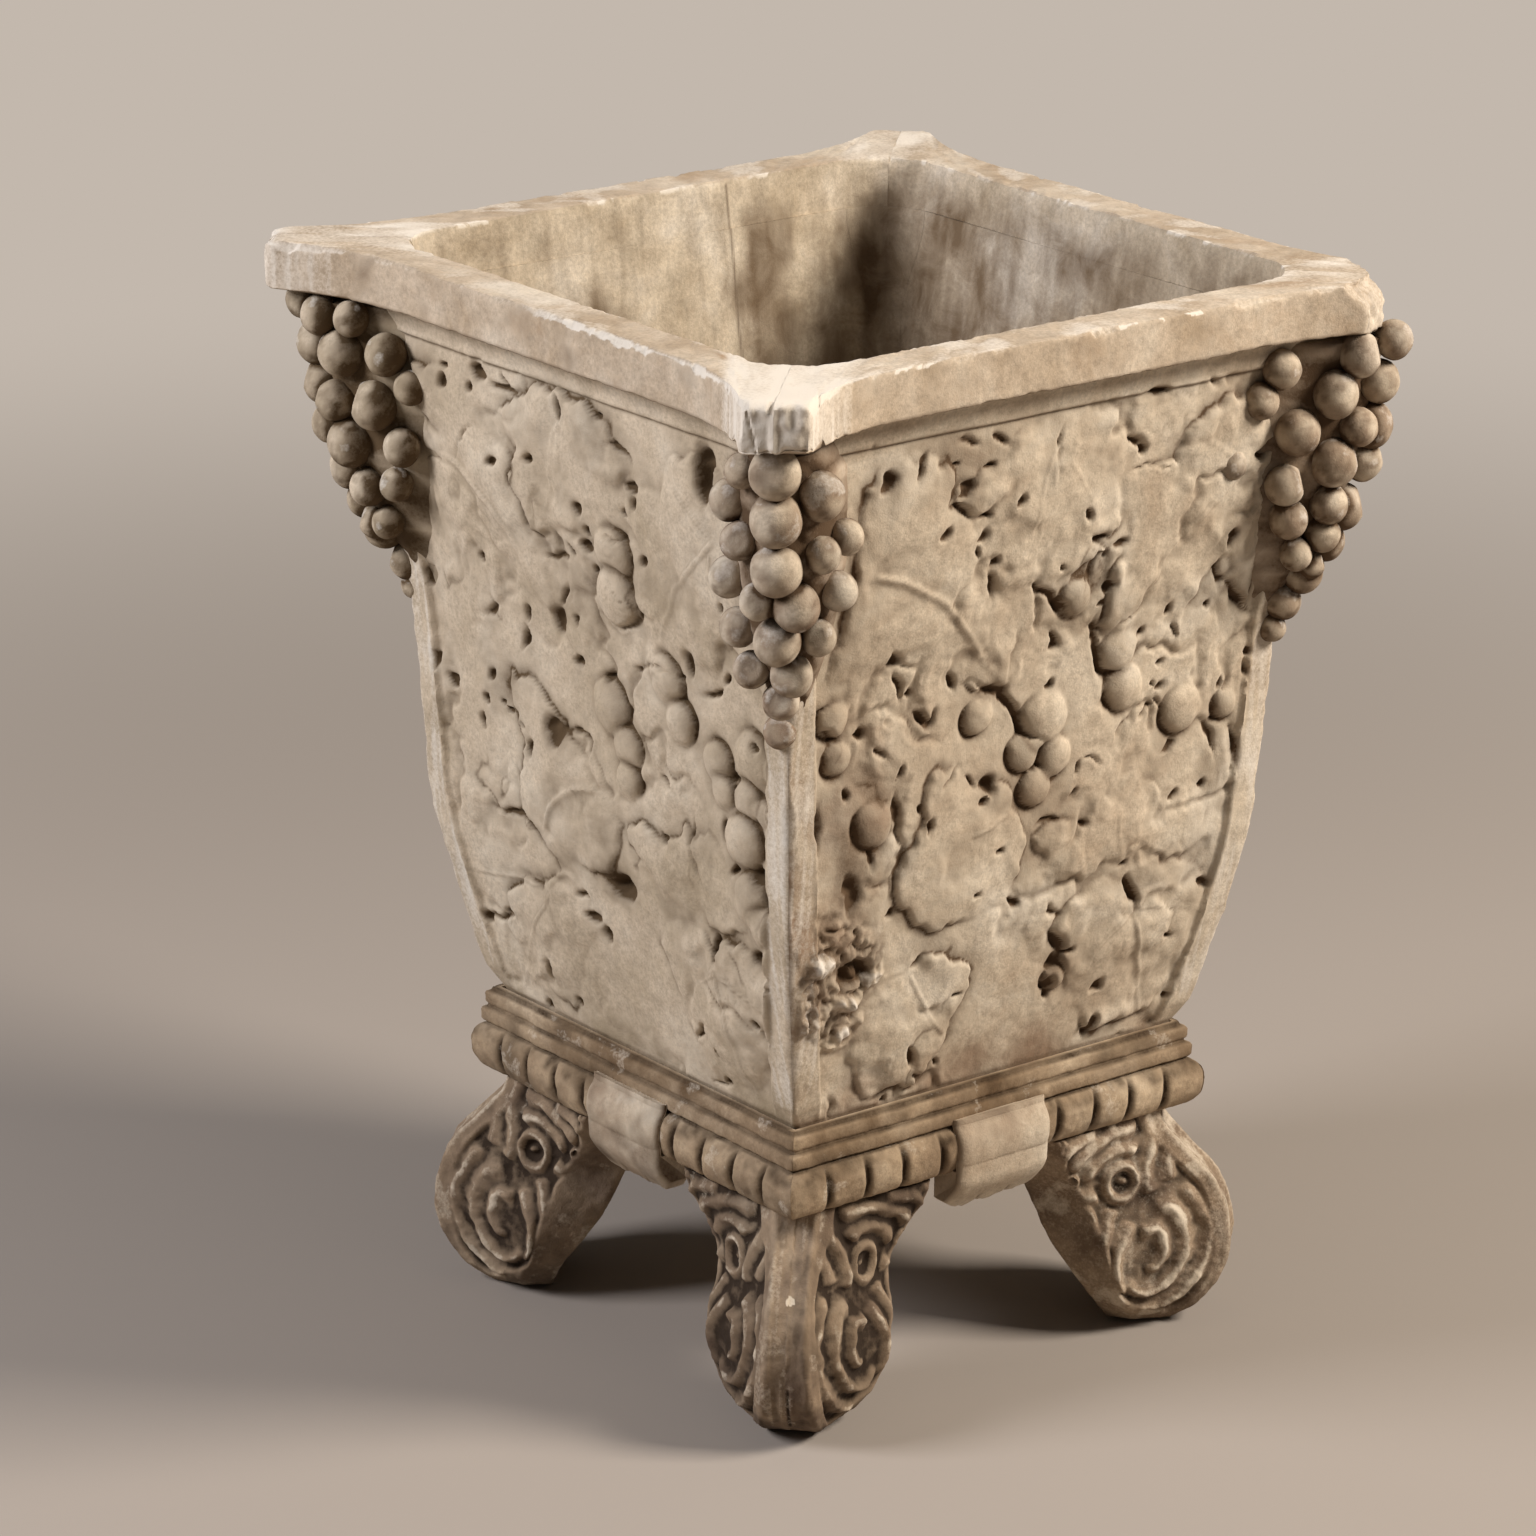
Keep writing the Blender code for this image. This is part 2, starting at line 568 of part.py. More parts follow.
def tongue_mesh():
    """Hanging tongue: it follows the torus at a joint's width, then curls in below it."""
    seat = [point for point, share in zip(mould_section(), MOULD_SECTION_SHARES)
            if share[0] <= TORUS_SEAT_SHARE]
    back = offset_line(seat, TONGUE_JOINT)
    crest = MOULD_BACK + MOULD_DEPTH * MOULD_FILLET_SHARE + TONGUE_JOINT
    top = SLAB_Z0 + MOULD_HEIGHT * TONGUE_TOP_SHARE
    waist = MOULD_BACK + MOULD_DEPTH
    below = sum(1 for height, depth in MOULD_SECTION_SHARES if height <= TONGUE_FACE_SHARE)
    shoulder = TONGUE_HALF_WIDTH - TONGUE_EDGE
    columns = ((-TONGUE_HALF_WIDTH, TONGUE_SIDE_SHARE), (-shoulder, 1.0), (0.0, 1.0),
               (shoulder, 1.0), (TONGUE_HALF_WIDTH, TONGUE_SIDE_SHARE))
    rings = []
    for place, proud in columns:
        rise = TONGUE_PROUD * proud
        face = offset_line(seat, TONGUE_JOINT + rise)
        curl_outer = []
        curl_inner = []
        for drop, inward in TONGUE_CURL_SHARES:
            half = waist + rise - MOULD_DEPTH * inward
            z = SLAB_Z0 - TONGUE_DROP * drop
            curl_outer.append((half, z))
            curl_inner.append((half - TONGUE_THICKNESS - (1 - drop) * rise, z - CLEARANCE))
        outer = [(crest + rise, top)] + list(reversed(face[below:])) + curl_outer
        inner = list(reversed(curl_inner)) + back[1:] + [(crest, top)]
        rings.append([(place, -half, z) for half, z in outer + inner])
    return mesh_from_rings("moulding_tongue", rings)


def slab_mesh(dowel_places):
    """Floor slab with its drain hole and the blind sockets of the four dowels."""
    half = BASE_HALF
    square = ((-half, -half), (half, -half), (half, half), (-half, half))
    body = mesh_from_rings("slab_body", [[(x, y, z) for x, y in square] for z in (SLAB_Z0, SLAB_Z1)])
    cut_bottom = SLAB_Z0 - CUT_OVERRUN
    cutters = [rod_mesh("drain_cut", DRAIN_RADIUS, cut_bottom, SLAB_Z1 + CUT_OVERRUN, HOLE_POINTS)]
    socket_top = SLAB_Z0 + DOWEL_BITE + CLEARANCE
    for place in dowel_places:
        cutters.append(rod_mesh("socket_cut", DOWEL_RADIUS + CLEARANCE, cut_bottom, socket_top,
                                HOLE_POINTS, place))
    return with_booleans("floor_slab", body, cutters)


def foot_row(height_share):
    """Seven shares of the foot at a height, from the hand-chosen rows."""
    values = []
    for column in range(1, len(FOOT_ROW_SHARES[0])):
        pairs = [(row[0], row[column]) for row in FOOT_ROW_SHARES]
        values.append(curve_at(pairs, height_share))
    return values


def foot_mesh(dowel_place):
    """Scroll foot on the front-left diagonal, with the socket of its dowel."""
    rings = []
    for row in range(FOOT_ROW_COUNT):
        share = row / (FOOT_ROW_COUNT - 1)
        height = share * share * (1 + FOOT_ROW_EASE_SHARE * (1 - share))
        nose, band, cheek, cheek_width, heel, heel_width = foot_row(height)
        bow_reach, bow_width = FOOT_SIDE_BOW_SHARES
        bow = (nose + (cheek - nose) * bow_reach, band + (cheek_width - band) * bow_width)
        half_plan = [(nose, band), bow, (cheek, cheek_width), (heel, heel_width)]
        plan = half_plan + [(reach, -width) for reach, width in reversed(half_plan)]
        ring = []
        for reach, width in plan:
            out = reach * FOOT_REACH
            across = width * FOOT_HALF_WIDTH
            ring.append((-(out + across) * DIAGONAL, -(out - across) * DIAGONAL, height * FOOT_HEIGHT))
        rings.append(ring)
    body = mesh_from_rings("foot_body", rings)
    socket_bottom = SLAB_Z0 + DOWEL_BITE - DOWEL_LENGTH - CLEARANCE
    socket = rod_mesh("socket_cut", DOWEL_RADIUS + CLEARANCE, socket_bottom, FOOT_HEIGHT + CUT_OVERRUN,
                      HOLE_POINTS, dowel_place)
    return with_booleans("scroll_foot", body, [socket])


def fillet_mesh():
    """Hollow-faced fillet in the inner corner between two walls."""
    rings = []
    for z in (WALL_Z0, WALL_Z1):
        corner = wall_inner(z) - CLEARANCE
        arc = []
        for index in range(FILLET_POINTS + 1):
            angle = math.pi / 2 * index / FILLET_POINTS
            reach = corner - FILLET_RADIUS
            arc.append((reach + (FILLET_RADIUS - FILLET_EDGE) * math.cos(angle),
                        reach + (FILLET_RADIUS - FILLET_EDGE) * math.sin(angle)))
        edge = corner - FILLET_RADIUS
        outline = arc + [(edge, corner), (corner, corner), (corner, edge)]
        rings.append([(-x, -y, z) for x, y in outline])
    return mesh_from_rings("corner_fillet", rings)


def corner_body_mesh():
    """Body corner with a joint's width added all round, which shapes a cluster's back."""
    rings = []
    for z in wall_levels()[1:]:
        flat = wall_half(z) + CLEARANCE
        corner = flat + band_rise(z)
        band = flat - BAND_WIDTH - CLEARANCE * 2
        foot = band - BAND_SLOPE
        far = flat - CLUSTER_HALF_WIDTH * 3
        outline = [(far, flat), (foot, flat), (band, corner), (corner, corner),
                   (corner, band), (flat, foot), (flat, far), (far, far)]
        rings.append([(-x, -y, z) for x, y in outline])
    return mesh_from_rings("corner_body", rings)


def cluster_reach(z, down):
    """Distance of the cluster's ridge from the axis: the body corner's, and what stands proud of it."""
    corner = (wall_half(z) + band_rise(z)) / DIAGONAL
    return corner + CLUSTER_PROUD - CLUSTER_TAPER * down ** 3


def cluster_mesh():
    """Bunch of grapes over a core, cut to the body corner that it is planted on."""
    top = RIM_Z0 - CLEARANCE - GRAPE_RADIUS
    spheres = []
    for across_share, down, size in GRAPE_SHARES:
        radius = GRAPE_RADIUS * size
        across = CLUSTER_HALF_WIDTH * across_share
        z = top - CLUSTER_HEIGHT * down
        out = cluster_reach(z, down) - radius - CLUSTER_CROWN * across_share ** 2
        spheres.append((out, across, z, radius))
    grapes = []
    for out, across, z, radius in spheres:
        place = (-(out + across) * DIAGONAL, -(out - across) * DIAGONAL, z)
        grapes.append(ball_mesh("grape", place, radius))
    core_rings = []
    for down, core_share in CLUSTER_CORE_SHARES:
        z = top - CLUSTER_HEIGHT * down
        half_plan = []
        for face_share in CLUSTER_FACE_SHARES:
            share = core_share * face_share
            sink = CLUSTER_CROWN * share * share + GRAPE_RADIUS * CLUSTER_SINK_SHARE
            half_plan.append((cluster_reach(z, down) - sink, CLUSTER_HALF_WIDTH * share))
        back = wall_half(z) / DIAGONAL - CLUSTER_HALF_WIDTH
        half_plan.append((back, CLUSTER_HALF_WIDTH * core_share))
        plan = half_plan + [(out, -across) for out, across in reversed(half_plan)]
        core_rings.append([(-(out + across) * DIAGONAL, -(out - across) * DIAGONAL, z)
                           for out, across in plan])
    core = mesh_from_rings("cluster_core", core_rings)
    return core, grapes


def main():
    clear_scene()
    plaster = plain_material("aged_cast_plaster", (0.52, 0.45, 0.36), 0.88)
    rim_plaster = plain_material("chipped_rim_plaster", (0.66, 0.60, 0.52), 0.85)
    foot_plaster = plain_material("soiled_foot_plaster", (0.36, 0.31, 0.25), 0.90)
    iron = plain_material("rusted_dowel_iron", (0.16, 0.10, 0.07), 0.75, 0.6)

    vase = bpy.data.objects.new("garden_vase", None)
    bpy.context.scene.collection.objects.link(vase)

    dowel_offset = DOWEL_REACH * DIAGONAL
    dowel_place = (-dowel_offset, -dowel_offset)
    dowel_places = [(x, y) for x in (-dowel_offset, dowel_offset) for y in (-dowel_offset, dowel_offset)]

    panels = (panel_mesh(FRUIT_SHARES), panel_mesh(LEFT_FRUIT_SHARES))
    turned_copies("wall_panel", SIDES, panels, plaster, vase)
    turned_copies("rim", SIDES, (rim_mesh(),), rim_plaster, vase)
    turned_copies("base_moulding", SIDES, (moulding_mesh(),), plaster, vase)
    turned_copies("moulding_tongue", SIDES, (tongue_mesh(),), plaster, vase)
    turned_copies("corner_fillet", CORNERS, (fillet_mesh(),), plaster, vase)
    turned_copies("scroll_foot", CORNERS, (foot_mesh(dowel_place),), foot_plaster, vase)

    core, grapes = cluster_mesh()
    bunch = with_booleans("grape_bunch", core, grapes, "UNION")
    cluster = with_booleans("grape_cluster", bunch, [corner_body_mesh()])
    turned_copies("grape_cluster", CORNERS, (cluster,), plaster, vase)

    dowel = rod_mesh("dowel", DOWEL_RADIUS, SLAB_Z0 + DOWEL_BITE - DOWEL_LENGTH, SLAB_Z0 + DOWEL_BITE,
                     HOLE_POINTS, dowel_place, DOWEL_CHAMFER)
    turned_copies("foot_dowel", CORNERS, (dowel,), iron, vase)

    slab = slab_mesh(dowel_places)
    finish_mesh(slab, plaster)
    linked_object("floor_slab", slab).parent = vase


main()
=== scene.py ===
"""Look of the plaster garden vase: carved panels, chipped rim, grape bunches, mouldings and scroll feet.

Each side is worked out facing -Y and turned about Z by quarter turns, and so is
each corner, at the corner between the front (-Y) and the left (-X) side.
Relief is given in millimetres on a side: u along it, z up from the ground.
"""

import math

import bmesh
import bpy
import numpy as np
from mathutils import Matrix, Vector


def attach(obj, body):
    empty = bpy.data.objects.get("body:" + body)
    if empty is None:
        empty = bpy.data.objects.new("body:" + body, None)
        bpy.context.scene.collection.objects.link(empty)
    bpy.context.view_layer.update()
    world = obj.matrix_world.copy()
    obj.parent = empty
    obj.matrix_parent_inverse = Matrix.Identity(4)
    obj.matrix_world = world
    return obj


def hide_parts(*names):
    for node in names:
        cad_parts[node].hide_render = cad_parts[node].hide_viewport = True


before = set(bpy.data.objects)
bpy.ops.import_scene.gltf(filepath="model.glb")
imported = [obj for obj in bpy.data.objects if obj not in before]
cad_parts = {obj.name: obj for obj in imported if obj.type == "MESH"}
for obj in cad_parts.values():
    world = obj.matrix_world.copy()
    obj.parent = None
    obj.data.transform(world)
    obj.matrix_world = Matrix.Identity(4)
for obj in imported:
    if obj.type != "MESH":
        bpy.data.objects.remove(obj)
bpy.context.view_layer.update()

MM = 0.001
SIDES = ("front", "right", "back", "left")
CORNERS = ("front_left", "front_right", "back_right", "back_left")
DIAGONAL = math.sqrt(0.5)

# Levels and half-widths in metres, as in the frame's solids
SLAB_Z0, WALL_Z0, WALL_Z1 = 0.1365, 0.1688, 0.6298
RIM_Z0, RIM_Z1 = 0.6301, 0.6601
FACE_Z0, CAVETTO_Z0 = 0.1903, 0.6113
BASE_HALF, LIP_HALF = 0.1455, 0.2055
FLOOR_HALF, OPENING_HALF = 0.1210, 0.1934
RIM_HALF = 0.2250
FOOT_REACH, FOOT_HALF_WIDTH, FOOT_HEIGHT = 0.2460, 0.0660, 0.1362
# Cavetto under the rim: its height, the step it starts with and how far it swings out
CAVETTO_HEIGHT, CAVETTO_STEP, CAVETTO_DEPTH = 0.0185, 0.003, 0.008
# Corner band: its rise, and over what height it runs in above the moulding and out below the lip
BAND_RISE, BAND_RUN_IN, BAND_RUN_OUT = 0.0043, 0.015, 0.146
# Half the gap at the mitres between two sides
JOINT = 0.00006

# Swell of the face: share of its height, and of the way from the base's half-width to the lip's
WALL_SWELL = (
    (0.0, 0.0), (0.07, 0.13), (0.142, 0.25), (0.284, 0.44), (0.427, 0.515), (0.593, 0.585),
    (0.664, 0.65), (0.735, 0.75), (0.807, 0.85), (0.878, 0.925), (0.949, 0.98), (1.0, 1.0),
)


# Small tools

def noise(places, size, seed):
    """Smooth random values from -1 to 1: random numbers on a lattice of this spacing, blended between
    lattice points by 3t^2 - 2t^3."""
    table = np.random.default_rng(seed).random(4096) * 2 - 1
    scaled = np.asarray(places, dtype=float) / size
    cell = np.floor(scaled).astype(np.int64)
    part = scaled - cell
    part = part * part * (3 - 2 * part)
    axes = scaled.shape[-1]
    primes = (73856093, 19349663, 83492791)
    total = 0.0
    for corner in range(2 ** axes):
        weight = 1.0
        key = seed * 7919
        for axis in range(axes):
            step = (corner >> axis) & 1
            weight = weight * (part[..., axis] if step else 1 - part[..., axis])
            key = key ^ ((cell[..., axis] + step) * primes[axis])
        total = total + weight * table[key & 4095]
    return total


def rough(places, size, seed, octaves=3):
    """Sum of noises, each half as wide and half as strong as the one before."""
    total = 0.0
    for octave in range(octaves):
        total = total + noise(places, size / 2 ** octave, seed + octave) / 2 ** octave
    return total


def bumps(places, size, seed, octaves=3):
    """The parts of a sum of noises that lie above 0."""
    return np.clip(rough(places, size, seed, octaves), 0, None)


def ease(low, high, values):
    """0 below low, 1 above high, 3t^2 - 2t^3 between; low may be above high."""
    t = np.clip((values - low) / (high - low), 0.0, 1.0)
    return t * t * (3 - 2 * t)


def smooth_curve(pairs, places):
    """Hermite curve through (place, value) pairs: the slope at a pair is the one between its neighbours."""
    x = np.array([pair[0] for pair in pairs])
    y = np.array([pair[1] for pair in pairs])
    before = np.maximum(np.arange(len(x)) - 1, 0)
    after = np.minimum(np.arange(len(x)) + 1, len(x) - 1)
    slope = (y[after] - y[before]) / (x[after] - x[before])
    place = np.clip(places, x[0], x[-1])
    k = np.clip(np.searchsorted(x, place, side="right") - 1, 0, len(x) - 2)
    span = x[k + 1] - x[k]
    t = (place - x[k]) / span
    return ((1 + 2 * t) * (1 - t) ** 2 * y[k] + t * t * (3 - 2 * t) * y[k + 1]
            + span * (t * (1 - t) ** 2 * slope[k] + t * t * (t - 1) * slope[k + 1]))


def curved(line, steps=6):
    """Smooth line through given places: a Hermite curve in each coordinate over the place's number."""
    order = np.arange(len(line), dtype=float)
    fine = np.linspace(0, len(line) - 1, (len(line) - 1) * steps + 1)
    return list(zip(*(smooth_curve(list(zip(order, axis)), fine) for axis in zip(*line))))


def hill(values, width):
    """Bell of height 1: exp(-(x / width)^2)."""
    return np.exp(-(values / width) ** 2)


def line_distance(u, z, line):
    """Distance from each place to a polyline, and the share of its length at the nearest place."""
    best = np.full(u.shape, 1e9)
    along = np.zeros(u.shape)
    gone = 0.0
    for (u0, z0), (u1, z1) in zip(line, line[1:]):
        du, dz = u1 - u0, z1 - z0
        length = math.hypot(du, dz)
        if length == 0:
            continue
        t = np.clip(((u - u0) * du + (z - z0) * dz) / length ** 2, 0, 1)
        distance = np.hypot(u - u0 - t * du, z - z0 - t * dz)
        near = distance < best
        best = np.where(near, distance, best)
        along = np.where(near, gone + t * length, along)
        gone += length
    return best, along / gone


def inside_distance(u, z, outline):
    """Distance to a closed outline, counted positive inside it (odd number of edges crossed to the right)."""
    closed = list(outline) + [outline[0]]
    distance, _ = line_distance(u, z, closed)
    inside = np.zeros(u.shape, dtype=bool)
    for (u0, z0), (u1, z1) in zip(closed, closed[1:]):
        if z0 == z1:
            continue
        crosses = ((z0 > z) != (z1 > z)) & (u < u0 + (z - z0) * (u1 - u0) / (z1 - z0))
        inside ^= crosses
    return np.where(inside, distance, -distance)


def blurred(values, radius_rows, radius_columns):
    """Gaussian mean over a grid, one axis after the other, with the edge values carried on."""
    result = values
    for axis, radius in ((0, radius_rows), (1, radius_columns)):
        reach = int(math.ceil(radius * 2.5))
        offsets = np.arange(-reach, reach + 1)
        weights = np.exp(-0.5 * (offsets / radius) ** 2)
        weights /= weights.sum()
        total = 0.0
        last = result.shape[axis] - 1
        for offset, weight in zip(offsets, weights):
            index = np.clip(np.arange(result.shape[axis]) + offset, 0, last)
            total = total + weight * np.take(result, index, axis=axis)
        result = total
    return result


def turned(points, turn):
    """Points after a number of quarter turns about Z."""
    x, y, z = points[..., 0], points[..., 1], points[..., 2]
    for _ in range(turn):
        x, y = -y, x
    return np.stack([x, y, z], axis=-1)


def at(*axes):
    """Places from their coordinates, each spread over the shape of all."""
    return np.stack(np.broadcast_arrays(*axes), axis=-1)


def grid_faces(rows, columns, start=0, closed=False):
    """Quads between neighbours of a grid of points, the last column joined to the first if closed."""
    row = np.arange(rows - 1)[:, None]
    column = np.arange(columns if closed else columns - 1)[None, :]
    following = (column + 1) % columns
    quads = np.stack([row * columns + column, row * columns + following,
                      (row + 1) * columns + following, (row + 1) * columns + column], axis=-1)
    return quads.reshape(-1, 4) + start


def tube_faces(rows, ring, flipped=False, start=0):
    """Faces of a tube of rings closed at both ends: its sides, its first end and its last end."""
    sides = grid_faces(rows, ring, start, closed=True)
    first = start + np.arange(ring)[None, :]
    last = first + (rows - 1) * ring
    if flipped:
        return [sides[:, ::-1], first, last[:, ::-1]]
    return [sides, first[:, ::-1], last]


def make_piece(name, points, faces, materials, marks=None, face_materials=None, sharp=50.0):
    """Mesh object at the origin from points and face arrays; marks are values kept at the points."""
    loops = np.concatenate([np.asarray(block).ravel() for block in faces])
    sizes = np.concatenate([np.full(len(block), np.asarray(block).shape[1]) for block in faces])
    mesh = bpy.data.meshes.new(name)
    mesh.vertices.add(len(points))
    mesh.vertices.foreach_set("co", np.ascontiguousarray(points, dtype=np.float32).ravel())
    mesh.loops.add(len(loops))
    mesh.loops.foreach_set("vertex_index", loops.astype(np.int32))
    mesh.polygons.add(len(sizes))
    starts = np.concatenate([[0], np.cumsum(sizes)[:-1]])
    mesh.polygons.foreach_set("loop_start", starts.astype(np.int32))
    mesh.update(calc_edges=True)
    for material in materials:
        mesh.materials.append(material)
    if face_materials is not None:
        mesh.polygons.foreach_set("material_index", np.asarray(face_materials, dtype=np.int32))
    for mark, values in (marks or {}).items():
        layer = mesh.attributes.new(mark, "FLOAT", "POINT")
        layer.data.foreach_set("value", np.ascontiguousarray(values, dtype=np.float32).ravel())
    mesh.shade_smooth()
    mesh.set_sharp_from_angle(angle=math.radians(sharp))
    mesh.validate()
    piece = bpy.data.objects.new(name, mesh)
    bpy.context.scene.collection.objects.link(piece)
    return piece


def in_frame(piece, slot, *nodes):
    """Ride on the root body and stand in for CAD nodes."""
    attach(piece, "root")
    if nodes:
        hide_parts(*nodes)


def merge_poles(piece):
    """Merge points that fall together, such as those at the poles of the grapes."""
    bm = bmesh.new()
    bm.from_mesh(piece.data)
    bmesh.ops.remove_doubles(bm, verts=bm.verts, dist=1e-6)
    bmesh.ops.dissolve_degenerate(bm, edges=bm.edges, dist=1e-7)
    bmesh.ops.recalc_face_normals(bm, faces=bm.faces)
    bm.to_mesh(piece.data)
    bm.free()


def add_piece(name, node, slot, points, turn, faces, materials, marks, face_materials, sharp, merge=False):
    """Piece that stands in for a CAD node, from points worked out for the first side or corner."""
    points = turned(points.reshape(-1, 3), turn)
    piece = make_piece(name, points, faces, materials, marks, face_materials, sharp)
    if merge:
        merge_poles(piece)
    in_frame(piece, slot, node)


# Materials

def linear(code):
    """sRGB hex colour as linear RGBA."""
    channels = [int(code[place:place + 2], 16) / 255 for place in (0, 2, 4)]
    return tuple(c / 12.92 if c <= 0.04045 else ((c + 0.055) / 1.055) ** 2.4 for c in channels) + (1.0,)


def add_node(tree, kind, settings=None, links=None, stops=None):
    """Node with its settings (a property's name, or a socket's name or number), its links from
    (node, output) pairs, and its colour stops."""
    node = tree.nodes.new(kind)
    for key, value in (settings or {}).items():
        if isinstance(key, str) and hasattr(node, key):
            setattr(node, key, value)
        else:
            node.inputs[key].default_value = value
    for key, (source, output) in (links or {}).items():
        tree.links.new(source.outputs[output], node.inputs[key])
    for index, (place, colour) in enumerate(stops or ()):
        element = node.color_ramp.elements[index] if index < 2 else node.color_ramp.elements.new(place)
        element.position = place
        element.color = colour
    return node


def grey(value):
    """Linear grey as RGBA."""
    return (value, value, value, 1.0)


# Noise patterns of the plaster: blotches 60 mm across, mottling of 9 mm, grit at the 0.8 mm that still shows
# in the render, grains of 1.5 mm, and patches of 25 mm with edges ragged down to the grain
NOISES = {
    "blotch": {"Scale": 14.0, "Detail": 5.0, "Roughness": 0.62, "Distortion": 0.4},
    "mottle": {"Scale": 85.0, "Detail": 6.0, "Roughness": 0.66},
    "grit": {"Scale": 900.0, "Detail": 3.0, "Roughness": 0.6},
    "speck": {"Scale": 420.0, "Detail": 4.0, "Roughness": 0.7},
    "patches": {"Scale": 40.0, "Detail": 9.0, "Roughness": 0.72, "Distortion": 0.8},
}


def plaster(name, tones, dirt_and_shade_colour, chip_and_highlight_colour, stain_colour, roughness, grain, streaks=0.0):
    """Cast gypsum plaster: matt, chalky and blotchy, with dirt and painted shade where the piece's marks say
    they lie.
    tones are the light, middle and dark body colours; grain is the bump depth in metres."""
    material = bpy.data.materials.new(name)
    material.use_nodes = True
    tree = material.node_tree
    shader = tree.nodes["Principled BSDF"]
    shader.inputs["Roughness"].default_value = roughness
    shader.inputs["Specular IOR Level"].default_value = 0.28
    places = add_node(tree, "ShaderNodeTexCoord")
    noises = {}
    for pattern, settings in NOISES.items():
        noises[pattern] = add_node(tree, "ShaderNodeTexNoise", settings, {"Vector": (places, "Object")})
    ground = add_node(tree, "ShaderNodeValToRGB", links={"Fac": (noises["blotch"], "Fac")}, stops=(
        (0.30, linear(tones[2])), (0.52, linear(tones[1])), (0.72, linear(tones[0]))))
    colour = (ground, "Color")
    layers = [(noises["mottle"], 0.30, 0.74, 0.70, 1.18, 0.55),
              (noises["speck"], 0.34, 0.76, 0.66, 1.20, 0.7)]
    if streaks:
        stretched = add_node(tree, "ShaderNodeMapping", {"Scale": (150.0, 150.0, 9.0)},
                             {"Vector": (places, "Object")})
        runs = add_node(tree, "ShaderNodeTexNoise", {"Scale": 1.0, "Detail": 4.0, "Roughness": 0.6},
                        {"Vector": (stretched, "Vector")})
        layers.append((runs, 0.36, 0.70, 0.60, 1.08, streaks))
    # Each layer darkens to one grey below a level and lightens to another above a second, by a share.
    # In a colour Mix the factor is socket 0, the colours are 6 and 7, and the result is output 2
    for pattern, low, dark, high, light, share in layers:
        tone = add_node(tree, "ShaderNodeValToRGB", links={"Fac": (pattern, "Fac")},
                        stops=((low, grey(dark)), (high, grey(light))))
        mixed = add_node(tree, "ShaderNodeMix", {"data_type": "RGBA", "blend_type": "MULTIPLY", 0: share},
                         {6: colour, 7: (tone, "Color")})
        colour = (mixed, 2)
    # A stain ends in ragged patches, dirt with its painted shade and chips with their painted highlight in
    # grains
    for mark, tone, low, high, grains, share in (("stain", stain_colour, 0.06, 0.98, "patches", 1.2),
                                                 ("dirt_and_shade", dirt_and_shade_colour, 0.08, 0.85, "speck", 0.7),
                                                 ("chip_and_highlight", chip_and_highlight_colour, 0.20, 0.70, "speck", 0.7)):
        layer = add_node(tree, "ShaderNodeAttribute", {"attribute_name": mark})
        broken = add_node(tree, "ShaderNodeMath", {"operation": "MULTIPLY_ADD", 1: share},
                          {0: (noises[grains], "Fac"), 2: (layer, "Fac")})
        amount = add_node(tree, "ShaderNodeMapRange",
                          {"From Min": low + share / 2, "From Max": high + share / 2},
                          {"Value": (broken, "Value")})
        covered = add_node(tree, "ShaderNodeMix", {"data_type": "RGBA", 7: linear(tone)},
                           {0: (amount, "Result"), 6: colour})
        colour = (covered, 2)
    tree.links.new(colour[0].outputs[colour[1]], shader.inputs["Base Color"])
    coarse = add_node(tree, "ShaderNodeBump", {"Strength": 0.7, "Distance": grain * 2.2},
                      {"Height": (noises["mottle"], "Fac")})
    fine = add_node(tree, "ShaderNodeBump", {"Strength": 0.8, "Distance": grain},
                    {"Height": (noises["grit"], "Fac"), "Normal": (coarse, "Normal")})
    tree.links.new(fine.outputs["Normal"], shader.inputs["Normal"])
    return material


# Each plaster: tones, then the colours of dirt with painted shade, of chips with painted highlight, and of
# stains, roughness, grain and streaks
# Front and right panels, the two front bunches and all tongues: warm grey-beige with sepia dirt and painted
# shade
front_plaster = plaster("weathered_plaster_warm", ("D4C8B5", "C6B69F", "AE9A82"),
                        "57432F", "DCD2C4", "8A7059", 0.93, 0.00035)
# Back and left panels and the two back bunches: a little yellower, with greener stains
left_plaster = plaster("weathered_plaster_cool", ("D2C4AE", "C5B49C", "AE9D84"),
                       "57452F", "DED6C9", "8C7C62", 0.93, 0.00035)
# Hollow and floor slab: paler, with brown damp stains and runs down the wall, and painted shade in its
# corners and on its less lit faces
inner_plaster = plaster("stained_inner_plaster", ("DACEBC", "CCBCA4", "AC9A80"),
                        "4E3B29", "E0D5C4", "73604A", 0.95, 0.00030, 0.35)
# Rim: its chips show paler plaster, and it is a little smoother than the carving
rim_plaster = plaster("chipped_rim_plaster_worn", ("D3C5B0", "C1AF98", "A48F75"),
                      "5D4A36", "DFD4C4", "9B7C5A", 0.90, 0.00030)
# Feet: grey-brown with soil from the ground and painted shade in their carving, and coarser
foot_plaster = plaster("soiled_foot_plaster_old", ("B5A188", "98836B", "77634F"),
                       "33271C", "CFC0AA", "59473A", 0.95, 0.00045)
# Base mouldings: browner than the panels, with dark dirt and painted shade between the gadroons
moulding_plaster = plaster("soiled_moulding_plaster", ("C6B297", "AC967A", "877159"),
                           "3B2C1C", "DCCFBC", "6A543C", 0.94, 0.00035)


